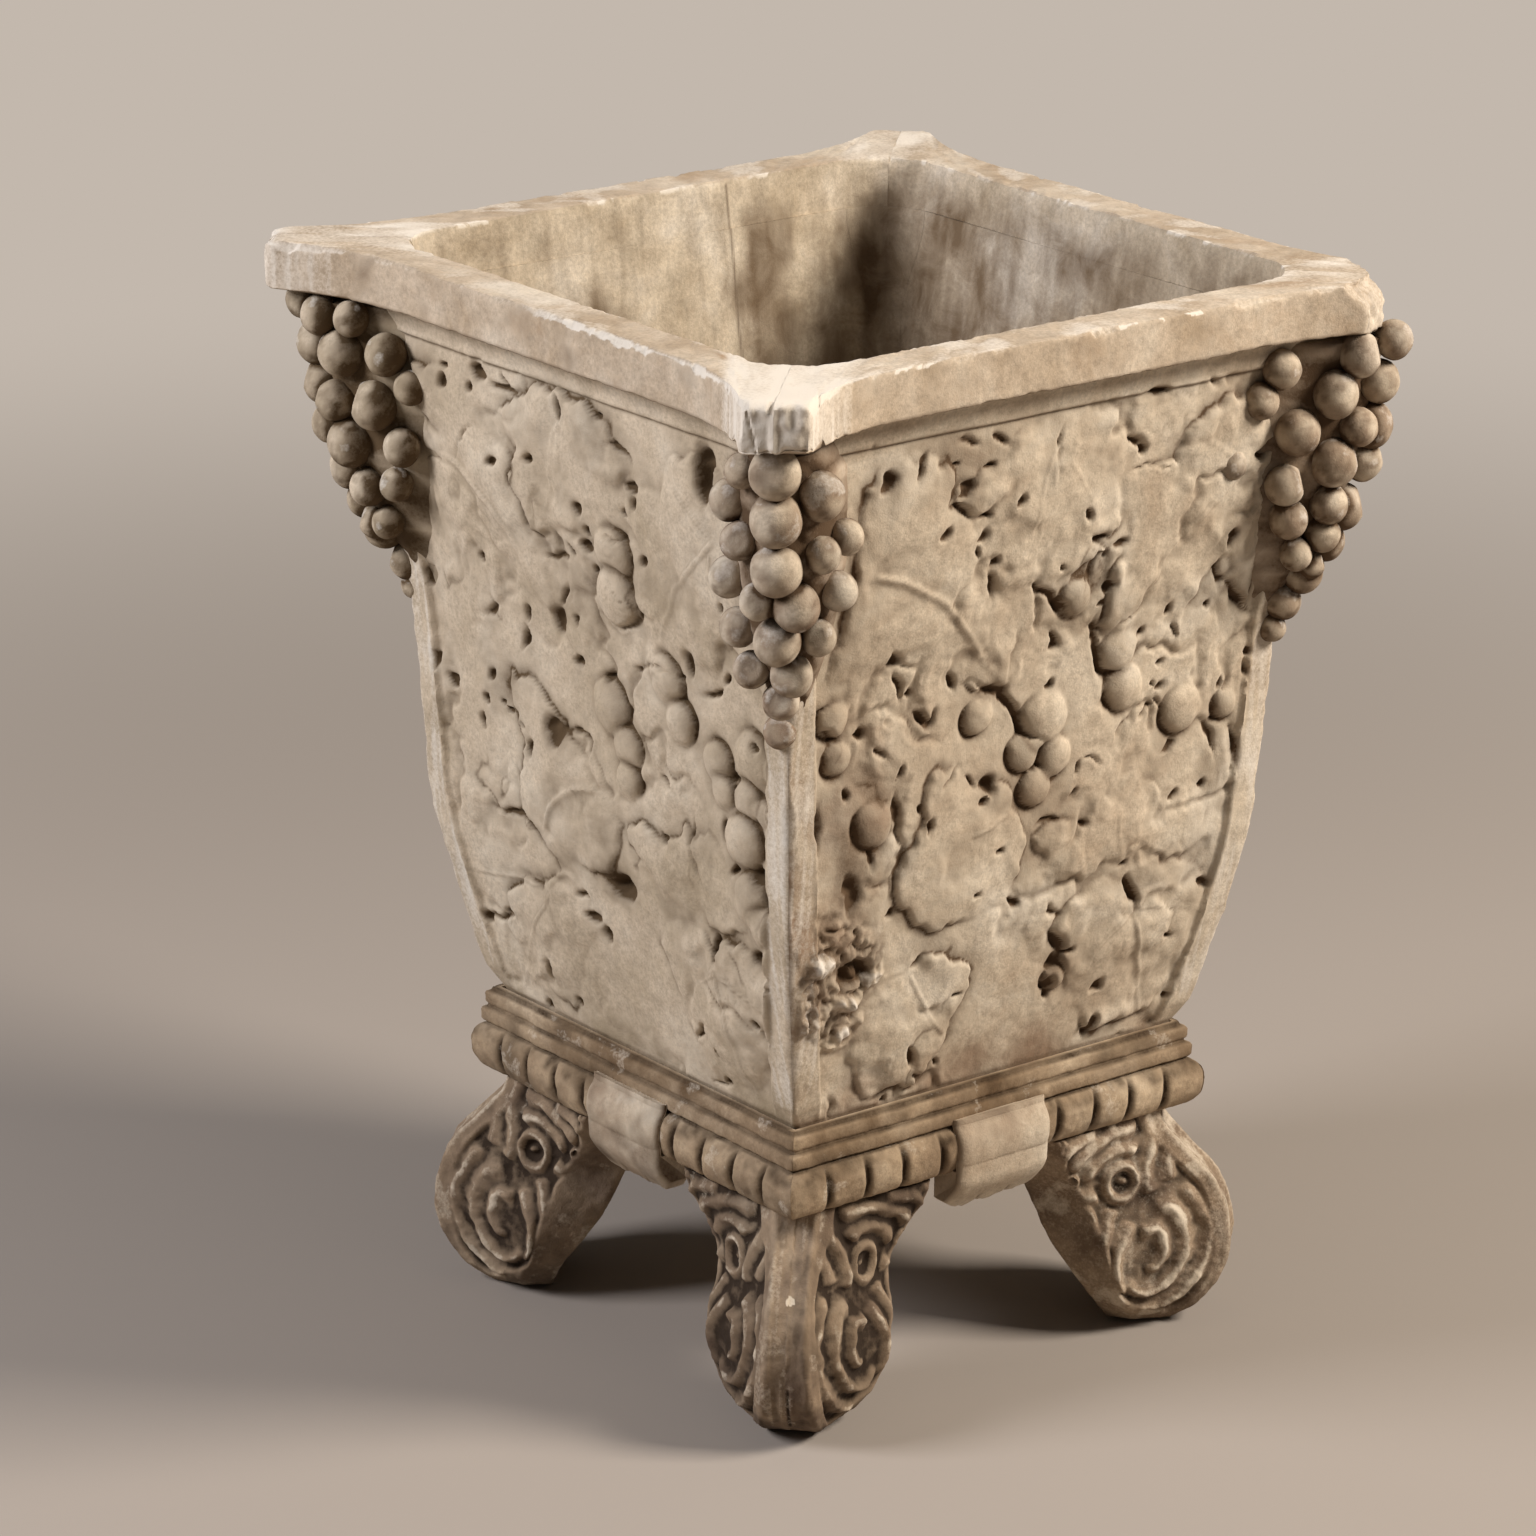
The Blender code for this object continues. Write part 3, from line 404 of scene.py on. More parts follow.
def rusted_iron():
    """Wrought iron rod left in damp plaster: dark scale with orange-brown rust, rough and barely metallic."""
    material = bpy.data.materials.new("rusted_iron_rod")
    material.use_nodes = True
    tree = material.node_tree
    shader = tree.nodes["Principled BSDF"]
    shader.inputs["Metallic"].default_value = 0.35
    shader.inputs["Roughness"].default_value = 0.8
    places = add_node(tree, "ShaderNodeTexCoord")
    # Rust blooms about 4 mm across
    bloom = add_node(tree, "ShaderNodeTexNoise", {"Scale": 220.0, "Detail": 6.0, "Roughness": 0.7},
                     {"Vector": (places, "Object")})
    tone = add_node(tree, "ShaderNodeValToRGB", links={"Fac": (bloom, "Fac")}, stops=(
        (0.35, linear("2E211B")), (0.55, linear("6B3A20")), (0.75, linear("9A5A2C"))))
    tree.links.new(tone.outputs["Color"], shader.inputs["Base Color"])
    flakes = add_node(tree, "ShaderNodeBump", {"Strength": 0.8, "Distance": 0.0004},
                      {"Height": (bloom, "Fac")})
    tree.links.new(flakes.outputs["Normal"], shader.inputs["Normal"])
    return material


iron = rusted_iron()


# Body and its relief

def body_half(z):
    """Half-width across the flats: the base's, plus the swell's share of the way to the lip's, plus the
    quarter-round cavetto under the rim."""
    share = smooth_curve(WALL_SWELL, (z - FACE_Z0) / (CAVETTO_Z0 - FACE_Z0))
    climb = np.clip((z - CAVETTO_Z0) / CAVETTO_HEIGHT, 0, 1)
    cove = ease(0.0, 0.08, climb) * CAVETTO_STEP + CAVETTO_DEPTH * (1 - np.sqrt(1 - climb ** 2))
    return BASE_HALF + (LIP_HALF - BASE_HALF) * share + cove


def band_rise(z):
    """Rise of the corner band: run in above the moulding and out below the lip."""
    return BAND_RISE * np.clip(np.minimum((z - FACE_Z0) / BAND_RUN_IN, (CAVETTO_Z0 - z) / BAND_RUN_OUT), 0, 1)


def wall_inner(z):
    """Half-width of the hollow: straight from the floor to the rim's edge."""
    return FLOOR_HALF + (OPENING_HALF - FLOOR_HALF) * (z - WALL_Z0) / (RIM_Z1 - WALL_Z0)


# Leaf outlines (u, z), each with its height above the ground of the panel
LEAVES = (
    (3.4, ((-150, 590), (-120, 600), (-105, 603), (-86, 588), (-82, 570), (-70, 559), (-60, 550),
           (-60, 531), (-50, 527), (-45, 505), (-30, 500), (-20, 480), (-22, 460), (-25, 443), (-42, 449),
           (-52, 454), (-62, 450), (-66, 462), (-73, 447), (-79, 432), (-90, 442), (-96, 455), (-102, 452),
           (-111, 480), (-120, 470), (-135, 455), (-150, 440), (-160, 470), (-155, 510), (-150, 540))),
    (4.6, ((-8, 612), (20, 611), (38, 600), (42, 590), (58, 578), (50, 568), (44, 560), (46, 545),
           (44, 532), (28, 528), (40, 520), (30, 513), (12, 512), (0, 499), (-15, 506), (-40, 500),
           (-45, 512), (-50, 527), (-62, 532), (-62, 550), (-54, 562), (-70, 560), (-84, 572), (-70, 582),
           (-58, 588), (-48, 600), (-30, 608))),
    (4.2, ((137, 600), (160, 585), (165, 560), (168, 520), (162, 490), (158, 462), (143, 476), (127, 492),
           (118, 480), (106, 450), (100, 462), (94, 464), (78, 461), (62, 450), (50, 446), (42, 458),
           (44, 478), (45, 500), (55, 522), (46, 545), (46, 562), (60, 567), (85, 565), (90, 585),
           (110, 600))),
    (3.4, ((-75, 400), (-52, 402), (-40, 388), (-20, 385), (0, 350), (-10, 312), (-60, 300), (-95, 320),
           (-98, 345), (-80, 375))),
    (3.4, ((6, 350), (25, 354), (43, 347), (60, 360), (85, 365), (110, 352), (135, 355), (140, 340),
           (138, 318), (120, 318), (100, 308), (77, 315), (50, 310), (30, 312), (12, 325), (16, 332),
           (8, 340))),
    (4.8, ((27, 279), (33, 290), (45, 300), (52, 306), (62, 309), (72, 306), (80, 302), (90, 287),
           (93, 296), (98, 303), (105, 306), (130, 306), (142, 297), (155, 280), (158, 270), (158, 255),
           (145, 235), (120, 205), (75, 200), (60, 222), (45, 240), (38, 265))),
    (4.4, ((-78, 279), (-68, 288), (-60, 286), (-50, 283), (-40, 277), (-32, 272), (-27, 265), (-28, 260),
           (-45, 228), (-60, 200), (-100, 200), (-118, 232), (-118, 262), (-100, 278))),
)

# Raised veins and stems: half-width, rise, places
VEINS = (
    (2.6, 2.4, ((-137, 535), (-120, 530), (-100, 520), (-80, 507), (-60, 485), (-45, 467), (-30, 450))),
    (1.5, 1.1, ((-5, 593), (-8, 590), (-10, 568))),
    (1.3, 0.9, ((-5, 593), (-15, 580), (-25, 530))),
    (1.2, 0.9, ((0, 580), (10, 568), (20, 555))),
    (1.1, 0.8, ((-18, 548), (-16, 540), (-19, 531))),
    (1.7, 1.4, ((137, 555), (120, 540), (105, 527), (96, 518), (88, 510), (80, 495), (72, 482), (65, 470))),
    (1.2, 0.9, ((137, 555), (128, 560), (115, 570), (100, 578))),
    (1.2, 0.9, ((137, 555), (145, 548), (152, 533), (157, 515), (160, 490))),
    (1.0, 0.8, ((130, 545), (130, 535))),
    (1.2, 0.8, ((69, 345), (69, 335), (72, 322))),
    (1.8, 1.4, ((-45, 357), (-28, 362), (-12, 365))),
    (1.7, 1.5, ((92, 282), (92, 275), (97, 262), (102, 245), (108, 228), (113, 210), (115, 200))),
    (1.2, 1.0, ((92, 282), (80, 275), (65, 262), (60, 250))),
    (1.2, 1.0, ((93, 282), (110, 280), (130, 275), (150, 268))),
    (1.5, 1.3, ((-78, 277), (-70, 262), (-60, 245), (-45, 228))),
    (1.2, 0.9, ((-80, 280), (-90, 280), (-100, 278))),
    (1.2, 0.9, ((-100, 345), (-98, 330))),
    (5.5, 2.6, ((140, 396), (147, 384), (151, 370), (154, 354), (151, 340))),
)

# Round fruit lying on the ground of the panel: u, z, radius
GRAPES_FRONT = (
    (20, 492, 12), (60, 452, 14), (68, 428, 15), (8, 420, 18), (-5, 402, 12), (18, 395, 12), (5, 378, 12),
    (-42, 430, 11), (115, 405, 15), (148, 402, 9), (-117, 380, 14), (36, 248, 8), (-145, 425, 10),
    (-150, 450, 11),
)
GRAPES_LEFT = (
    (35, 520, 17), (32, 492, 20), (70, 452, 15), (80, 428, 13), (13, 420, 18), (28, 398, 13), (27, 378, 12),
    (113, 412, 13), (147, 423, 17), (117, 396, 10), (140, 396, 13), (155, 393, 8), (134, 370, 17),
    (142, 336, 16), (153, 322, 13), (157, 302, 10),
)

# Drilled and carved hollows: u, z, half-length, half-width, turn in degrees
PITS_FRONT = (
    (-131, 589, 9, 6, 30), (-146, 616, 5, 3, -45), (-82, 592, 3, 1.5, 0), (-75, 576, 8, 4, 35),
    (-58, 588, 4, 2, 0), (-87, 551, 6, 4, 25), (-57, 557, 5, 3, 0), (-57, 545, 6, 3.5, 20),
    (-35, 562, 4.5, 3.5, 30), (-46, 528, 4, 2.5, 30), (18, 545, 5, 3, -65), (49, 522, 7.5, 3, 5),
    (5, 515, 4, 2, -40), (44, 495, 5, 3, 20), (40, 486, 4, 2, 0), (77, 461, 4.5, 3, 40),
    (97, 470, 4, 2.5, 60), (95, 437, 4, 3, 0), (91, 425, 2, 2, 0), (10, 466, 8, 3.5, -60),
    (8, 441, 4, 3.5, 0), (-111, 480, 7, 4, -60), (-96, 455, 4, 2.5, 0), (-130, 437, 5, 4, 0),
    (-98, 407, 5, 2, 60), (-137, 400, 4, 3, 90), (-77, 371, 6, 2.5, 90), (-83, 382, 3, 2, 90),
    (-32, 386, 7, 7, 0), (-37, 377, 4, 3, 60), (2, 390, 3, 2, 0), (36, 384, 5, 2, 90), (34, 368, 4, 2, 30),
    (97, 422, 5, 3, 0), (108, 382, 8, 3.5, 25), (143, 415, 5, 3, 60), (135, 353, 4, 3.5, 0),
    (112, 350, 6, 3, 30), (163, 432, 4, 4, 0), (43, 347, 4, 3, -40), (77, 314, 3, 2, 0),
    (-5, 307, 7, 2.5, -40), (-22, 343, 4, 2.5, 0), (-38, 319, 4, 2, 0), (-100, 320, 4, 3, 0),
    (-42, 256, 5, 2, 0), (-70, 222, 10, 3.5, -60), (-47, 210, 3.5, 2.5, -45), (-82, 193, 4, 3, 0),
    (-74, 188, 6, 3, 0), (44, 265, 5, 3, 0), (33, 258, 6, 6, 0), (32, 245, 6, 5, 0), (33, 237, 3, 3, 0),
    (145, 287, 7, 3, -25), (72, 233, 5.5, 4, 50), (73, 206, 8, 4, 75), (90, 203, 2, 2, 0),
    (122, 257, 5, 2, -30), (134, 213, 3, 2, -30), (103, 190, 4, 3, 90), (150, 562, 9, 5, 15),
    (163, 555, 8, 4, -20), (134, 510, 7.5, 4, 75), (128, 468, 3, 2.5, 0), (65, 612, 9, 4, -20),
    (25, 616, 4, 2, 0), (50, 583, 7, 2.5, -40), (57, 577, 3, 3, 0),
)
PITS_LEFT = (
    (134, 590, 18, 9, 97), (-82, 603, 9, 6, 0), (-118, 590, 6, 4, 35), (-117, 600, 4, 2, 0),
    (-90, 593, 4, 3, 20), (62, 566, 7, 4, 0), (52, 549, 4, 3.5, 0), (10, 541, 6, 4.5, 90),
    (14, 529, 4, 3.5, 0), (9, 518, 6, 5, 0), (-71, 552, 6, 4, 30), (-33, 562, 6, 3.5, 25),
    (-1, 600, 10, 3, 90), (-103, 484, 5, 4, 10), (-33, 460, 10, 7, 90), (-14, 466, 4, 3.5, 90),
    (-17, 440, 6, 4, 0), (12, 437, 4.5, 3.5, 0), (94, 466, 9, 5.5, 100), (128, 467, 5, 3, 50),
    (139, 513, 4, 2, 90), (-64, 458, 6, 3, 90), (-70, 440, 8, 4, 70), (-109, 407, 6, 4, 30),
    (-148, 394, 6, 5, 90), (-165, 402, 12, 6, 90), (-68, 372, 7, 4, 90), (-43, 388, 13, 9, 90),
    (60, 350, 6, 2.5, -35), (128, 406, 5, 4, 0), (117, 372, 8, 4, 90), (148, 352, 7, 6, 0),
    (160, 338, 8, 5, 90), (125, 350, 6, 3, 35), (12, 306, 15, 9, 0), (145, 301, 7, 6, 0),
    (155, 283, 6, 5, 0), (155, 270, 7, 5, 90), (134, 256, 4, 3, 0), (102, 294, 11, 4, 90),
    (-25, 276, 9, 4, 0), (-13, 267, 7, 5, 90), (-114, 251, 8, 3, 20), (-141, 240, 5, 4, 0),
    (-79, 224, 9, 3.5, 80), (-57, 209, 4, 3, 90), (-93, 194, 4, 4, 0), (-135, 204, 4, 2, 20),
    (88, 222, 4, 1.5, 90), (87, 203, 4, 2.5, 30), (-120, 375, 6, 3, 90), (-115, 391, 4, 4, 0),
    (-98, 393, 3, 2, 0), (-91, 390, 4, 2.5, -20), (16, 505, 3, 2.5, 0), (-163, 458, 9, 6, 90),
    (42, 451, 3, 1.5, 0), (153, 433, 4, 3, -50), (36, 603, 3, 2, 0), (65, 522, 5, 2.5, 20),
    (-152, 584, 5, 4, 0), (-5, 513, 5, 2, -60),
)

# Carved grooves: half-width, depth, places
GROOVES_FRONT = (
    (2.5, 3.5, ((-106, 603), (-109, 595), (-112, 587))),
    (2.2, 3.0, ((-82, 606), (-74, 604), (-65, 601))),
    (2.5, 3.5, ((-58, 606), (-52, 602), (-45, 598))),
    (1.8, 3.0, ((-85, 571), (-77, 565), (-70, 559))),
    (2.0, 3.5, ((-61, 540), (-59, 531))),
    (2.2, 3.0, ((-49, 522), (-45, 510), (-43, 503))),
    (3.2, 4.5, ((-18, 508), (-10, 504), (0, 498), (8, 490), (14, 484), (20, 480))),
    (1.3, 1.6, ((-6, 606), (-8, 590), (-10, 568))),
    (2.5, 3.5, ((22, 532), (30, 528), (42, 530))),
    (1.8, 2.5, ((30, 522), (31, 500))),
    (2.8, 4.0, ((40, 480), (38, 468), (42, 455), (48, 442), (58, 438), (70, 438))),
    (2.0, 3.0, ((101, 460), (104, 455), (106, 450))),
    (3.2, 5.0, ((-66, 462), (-62, 450))),
    (3.4, 5.0, ((-52, 454), (-42, 449), (-25, 442), (-23, 437), (-15, 428), (-11, 420), (-5, 413), (3, 408),
                (10, 405))),
    (3.2, 5.0, ((-90, 442), (-84, 436), (-79, 432), (-74, 440))),
    (2.8, 4.0, ((-109, 470), (-105, 460), (-102, 452))),
    (2.5, 3.5, ((-145, 433), (-152, 440), (-160, 447))),
    (2.8, 3.5, ((-120, 427), (-115, 422), (-110, 418))),
    (3.0, 4.0, ((-100, 395), (-100, 382), (-98, 368))),
    (4.0, 4.0, ((-158, 400), (-159, 385), (-158, 370))),
    (2.5, 3.0, ((-120, 365), (-118, 358), (-116, 352))),
    (5.5, 5.5, ((-133, 350), (-129, 342), (-128, 335), (-130, 325))),
    (1.8, 2.5, ((-68, 390), (-62, 397), (-52, 402))),
    (2.0, 3.0, ((-50, 396), (-45, 390), (-40, 385))),
    (1.6, 2.5, ((37, 388), (45, 389), (52, 383), (57, 379))),
    (2.2, 3.0, ((93, 417), (100, 408))),
    (2.5, 3.0, ((80, 404), (88, 410), (96, 412))),
    (2.6, 4.0, ((160, 428), (163, 415), (167, 400))),
    (2.4, 3.5, ((130, 395), (137, 387), (141, 380), (143, 368))),
    (2.4, 3.5, ((153, 388), (157, 378), (160, 365), (162, 350), (158, 342))),
    (2.0, 3.0, ((8, 353), (16, 355), (25, 353))),
    (2.2, 3.5, ((-78, 279), (-73, 284), (-68, 288))),
    (2.5, 3.5, ((-65, 210), (-58, 201))),
    (3.6, 7.0, ((80, 305), (86, 296), (90, 287), (92, 282))),
    (3.0, 5.0, ((27, 279), (31, 274), (35, 270), (38, 265))),
    (2.5, 3.5, ((20, 300), (26, 294), (33, 290))),
    (2.2, 3.0, ((140, 240), (150, 233))),
    (2.4, 3.5, ((131, 500), (127, 493), (130, 485), (142, 478))),
    (2.4, 3.5, ((145, 475), (151, 468), (158, 462))),
    (1.4, 2.0, ((47, 565), (60, 567), (75, 564), (85, 565))),
    (2.4, 3.0, ((100, 616), (106, 611), (113, 606))),
    (1.8, 2.5, ((36, 515), (40, 518))),
    (2.2, 2.5, ((-75, 189), (0, 188), (120, 190))),
)
GROOVES_LEFT = (
    (2.6, 4.0, ((-74, 600), (-60, 598), (-40, 600))),
    (2.0, 3.0, ((-60, 610), (-55, 603), (-42, 599))),
    (1.4, 2.0, ((-115, 542), (-108, 552), (-100, 562), (-88, 570), (-80, 570))),
    (2.2, 4.0, ((66, 562), (62, 553))),
    (2.0, 3.5, ((-30, 470), (-25, 478), (-19, 488))),
    (3.0, 4.0, ((-92, 457), (-100, 450), (-110, 445))),
    (2.6, 4.5, ((-68, 451), (-67, 445), (-70, 437), (-75, 432))),
    (2.2, 3.0, ((-38, 501), (-20, 505), (-10, 507))),
    (2.2, 4.0, ((88, 457), (80, 456))),
    (2.2, 4.0, ((122, 460), (118, 455), (105, 450), (102, 449))),
    (1.6, 2.5, ((42, 450), (60, 457), (70, 459), (85, 456))),
    (2.0, 3.0, ((40, 588), (50, 588), (62, 586), (65, 581))),
    (2.0, 3.5, ((-32, 392), (-20, 395), (-11, 394), (-10, 388), (-9, 383))),
    (1.6, 2.5, ((55, 388), (63, 388), (68, 383), (71, 380))),
    (2.2, 3.0, ((-78, 388), (-72, 383))),
    (3.0, 5.0, ((-117, 321), (-105, 321), (-95, 323), (-82, 325), (-78, 322), (-70, 317), (-62, 311),
                (-55, 303), (-52, 298))),
    (1.2, 1.6, ((-88, 357), (-84, 348), (-77, 335), (-74, 330))),
    (1.2, 1.6, ((89, 378), (87, 365), (86, 355), (88, 342), (93, 332), (100, 322))),
    (2.4, 3.5, ((-40, 285), (-30, 288), (-25, 283))),
    (2.6, 4.0, ((138, 252), (145, 245), (147, 238), (143, 230), (140, 226))),
    (2.4, 3.5, ((80, 238), (72, 230), (66, 221))),
    (2.6, 3.5, ((-108, 252), (-118, 248), (-128, 244), (-140, 241), (-145, 235))),
    (1.4, 2.0, ((70, 200), (80, 198), (86, 202))),
    (2.2, 3.0, ((-170, 545), (-145, 540), (-122, 538))),
    (1.6, 2.5, ((30, 528), (45, 531), (54, 530))),
    (2.0, 3.0, ((20, 480), (32, 474), (45, 480), (52, 492))),
    (2.2, 2.5, ((-90, 190), (0, 189), (97, 188))),
)
VEINS_LEFT = (
    (2.4, 2.4, ((-60, 322), (-48, 342), (-30, 356), (-5, 364))),
    (1.4, 1.2, ((-63, 280), (-70, 270), (-80, 260), (-90, 245), (-100, 230), (-108, 215), (-117, 200))),
    (1.6, 1.4, ((-68, 282), (-85, 282), (-100, 280), (-120, 276), (-145, 273), (-165, 272))),
    (1.0, 0.7, ((-122, 535), (-125, 515), (-125, 490), (-125, 470))),
    (2.2, 2.0, ((-60, 288), (-50, 297), (-42, 298), (-33, 290))),
)

# The left side came from the same mould a little shifted: (u, z) on the front, then on the left side
LEFT_SHIFTS = (
    ((-5, 593), (0, 590)), ((-137, 533), (-118, 540)), ((-100, 520), (-95, 533)), ((-36, 455), (-52, 475)),
    ((140, 557), (140, 553)), ((96, 518), (110, 522)), ((65, 470), (60, 481)), ((20, 492), (32, 500)),
    ((60, 455), (70, 452)), ((68, 425), (80, 428)), ((8, 420), (13, 420)), ((5, 378), (27, 378)),
    ((-76, 278), (-63, 283)), ((92, 291), (102, 284)), ((113, 210), (111, 212)), ((-45, 228), (-50, 232)),
    ((-84, 572), (-75, 575)), ((58, 578), (62, 580)), ((160, 585), (160, 585)), ((-150, 590), (-150, 592)),
    ((27, 279), (45, 282)), ((158, 270), (160, 268)),
)


def shifted_to_front(u, z):
    """Places of the left side on the front's relief: moved back by the mean of the known shifts, each
    weighed by exp(-d^2 / 2 / 34^2) of its distance d in millimetres."""
    total = 1e-4
    move_u = 0.0
    move_z = 0.0
    for (front_u, front_z), (left_u, left_z) in LEFT_SHIFTS:
        weight = np.exp(-((u - left_u) ** 2 + (z - left_z) ** 2) / (2 * 34.0 ** 2))
        total = total + weight
        move_u = move_u + weight * (front_u - left_u)
        move_z = move_z + weight * (front_z - left_z)
    return u + move_u / total, z + move_z / total


def near(u, z, places, reach):
    """Grid places inside the box round some places, widened by a reach."""
    us = [place[0] for place in places]
    zs = [place[1] for place in places]
    return ((u > min(us) - reach) & (u < max(us) + reach) & (z > min(zs) - reach) & (z < max(zs) + reach))


# Calm parts of the face, without lobes: u, z, half-width, half-height
CALM_LEFT = (
    (15, 245, 48, 48), (55, 320, 34, 40), (-20, 415, 26, 22), (-75, 350, 20, 26), (100, 575, 32, 26),
)
CALM_FRONT = (
    (-12, 235, 34, 50), (-30, 345, 34, 30), (45, 200, 40, 16), (-100, 545, 36, 40), (30, 420, 16, 40),
    (70, 560, 24, 20),
)

# Soiled parts of the face: u, z, half-width, half-height, amount; the front's last one, along the top under
# the rim, is painted shade
SOIL_LEFT = (
    (2, 486, 22, 26, 0.42), (-100, 405, 30, 26, 0.36), (-30, 388, 22, 18, 0.34), (10, 318, 26, 26, 0.26),
    (-150, 500, 20, 60, 0.26), (140, 345, 24, 60, 0.26), (-110, 312, 30, 26, 0.26), (40, 590, 26, 24, 0.20),
    (-160, 395, 16, 60, 0.34), (0, 200, 150, 14, 0.22), (108, 285, 26, 30, 0.16), (60, 440, 30, 16, 0.18),
)
SOIL_AND_SHADE_FRONT = (
    (-150, 520, 26, 70, 0.30), (-140, 380, 34, 60, 0.42), (-118, 345, 30, 40, 0.30),
    (150, 360, 26, 60, 0.36), (140, 480, 30, 40, 0.16), (60, 465, 36, 22, 0.24), (-95, 590, 40, 22, 0.22),
    (10, 500, 30, 22, 0.22), (40, 262, 22, 32, 0.26), (90, 300, 60, 10, 0.22), (-40, 400, 26, 16, 0.20),
    (0, 196, 150, 14, 0.22), (150, 250, 18, 60, 0.20), (-70, 440, 40, 18, 0.16), (0, 600, 170, 26, 0.18),
)

# What each side is carved with; the right side and the back are as the front
FRONT_RELIEF = (CALM_FRONT, VEINS, GRAPES_FRONT, GROOVES_FRONT, PITS_FRONT, SOIL_AND_SHADE_FRONT)
LEFT_RELIEF = (CALM_LEFT, VEINS + VEINS_LEFT, GRAPES_LEFT, GROOVES_LEFT, PITS_LEFT, SOIL_LEFT)
# Seeds of the uneven ground of each side
RELIEF_SEEDS = {"front": 11, "right": 31, "back": 51, "left": 71}
# A hollow of this half-length or longer is a deep one, and goes this deep, in millimetres
DEEP_PIT_LENGTH, DEEP_PIT_DEPTH = 15, 12.0
# Broken lump by the photographed corner: its outline, then its cavity and its fragments as u, z, half-width
# and half-height
BREAK_OUTLINE = ((-163, 318), (-140, 326), (-118, 320), (-100, 300), (-98, 280), (-112, 268), (-108, 250),
                 (-120, 238), (-150, 240), (-166, 258), (-168, 290))
BREAK_CAVITY = (-122, 288, 14, 9)
BREAK_FRAGMENTS = ((-151, 299, 12, 9), (-108, 281, 8, 5), (-128, 270, 8, 5), (-125, 250, 7, 5))


def soft_max(first, second, blend):
    """Larger of two heights, rounded where they meet: half of (a + b + sqrt((a - b)^2 + blend^2))."""
    return 0.5 * (first + second + np.sqrt((first - second) ** 2 + blend ** 2))


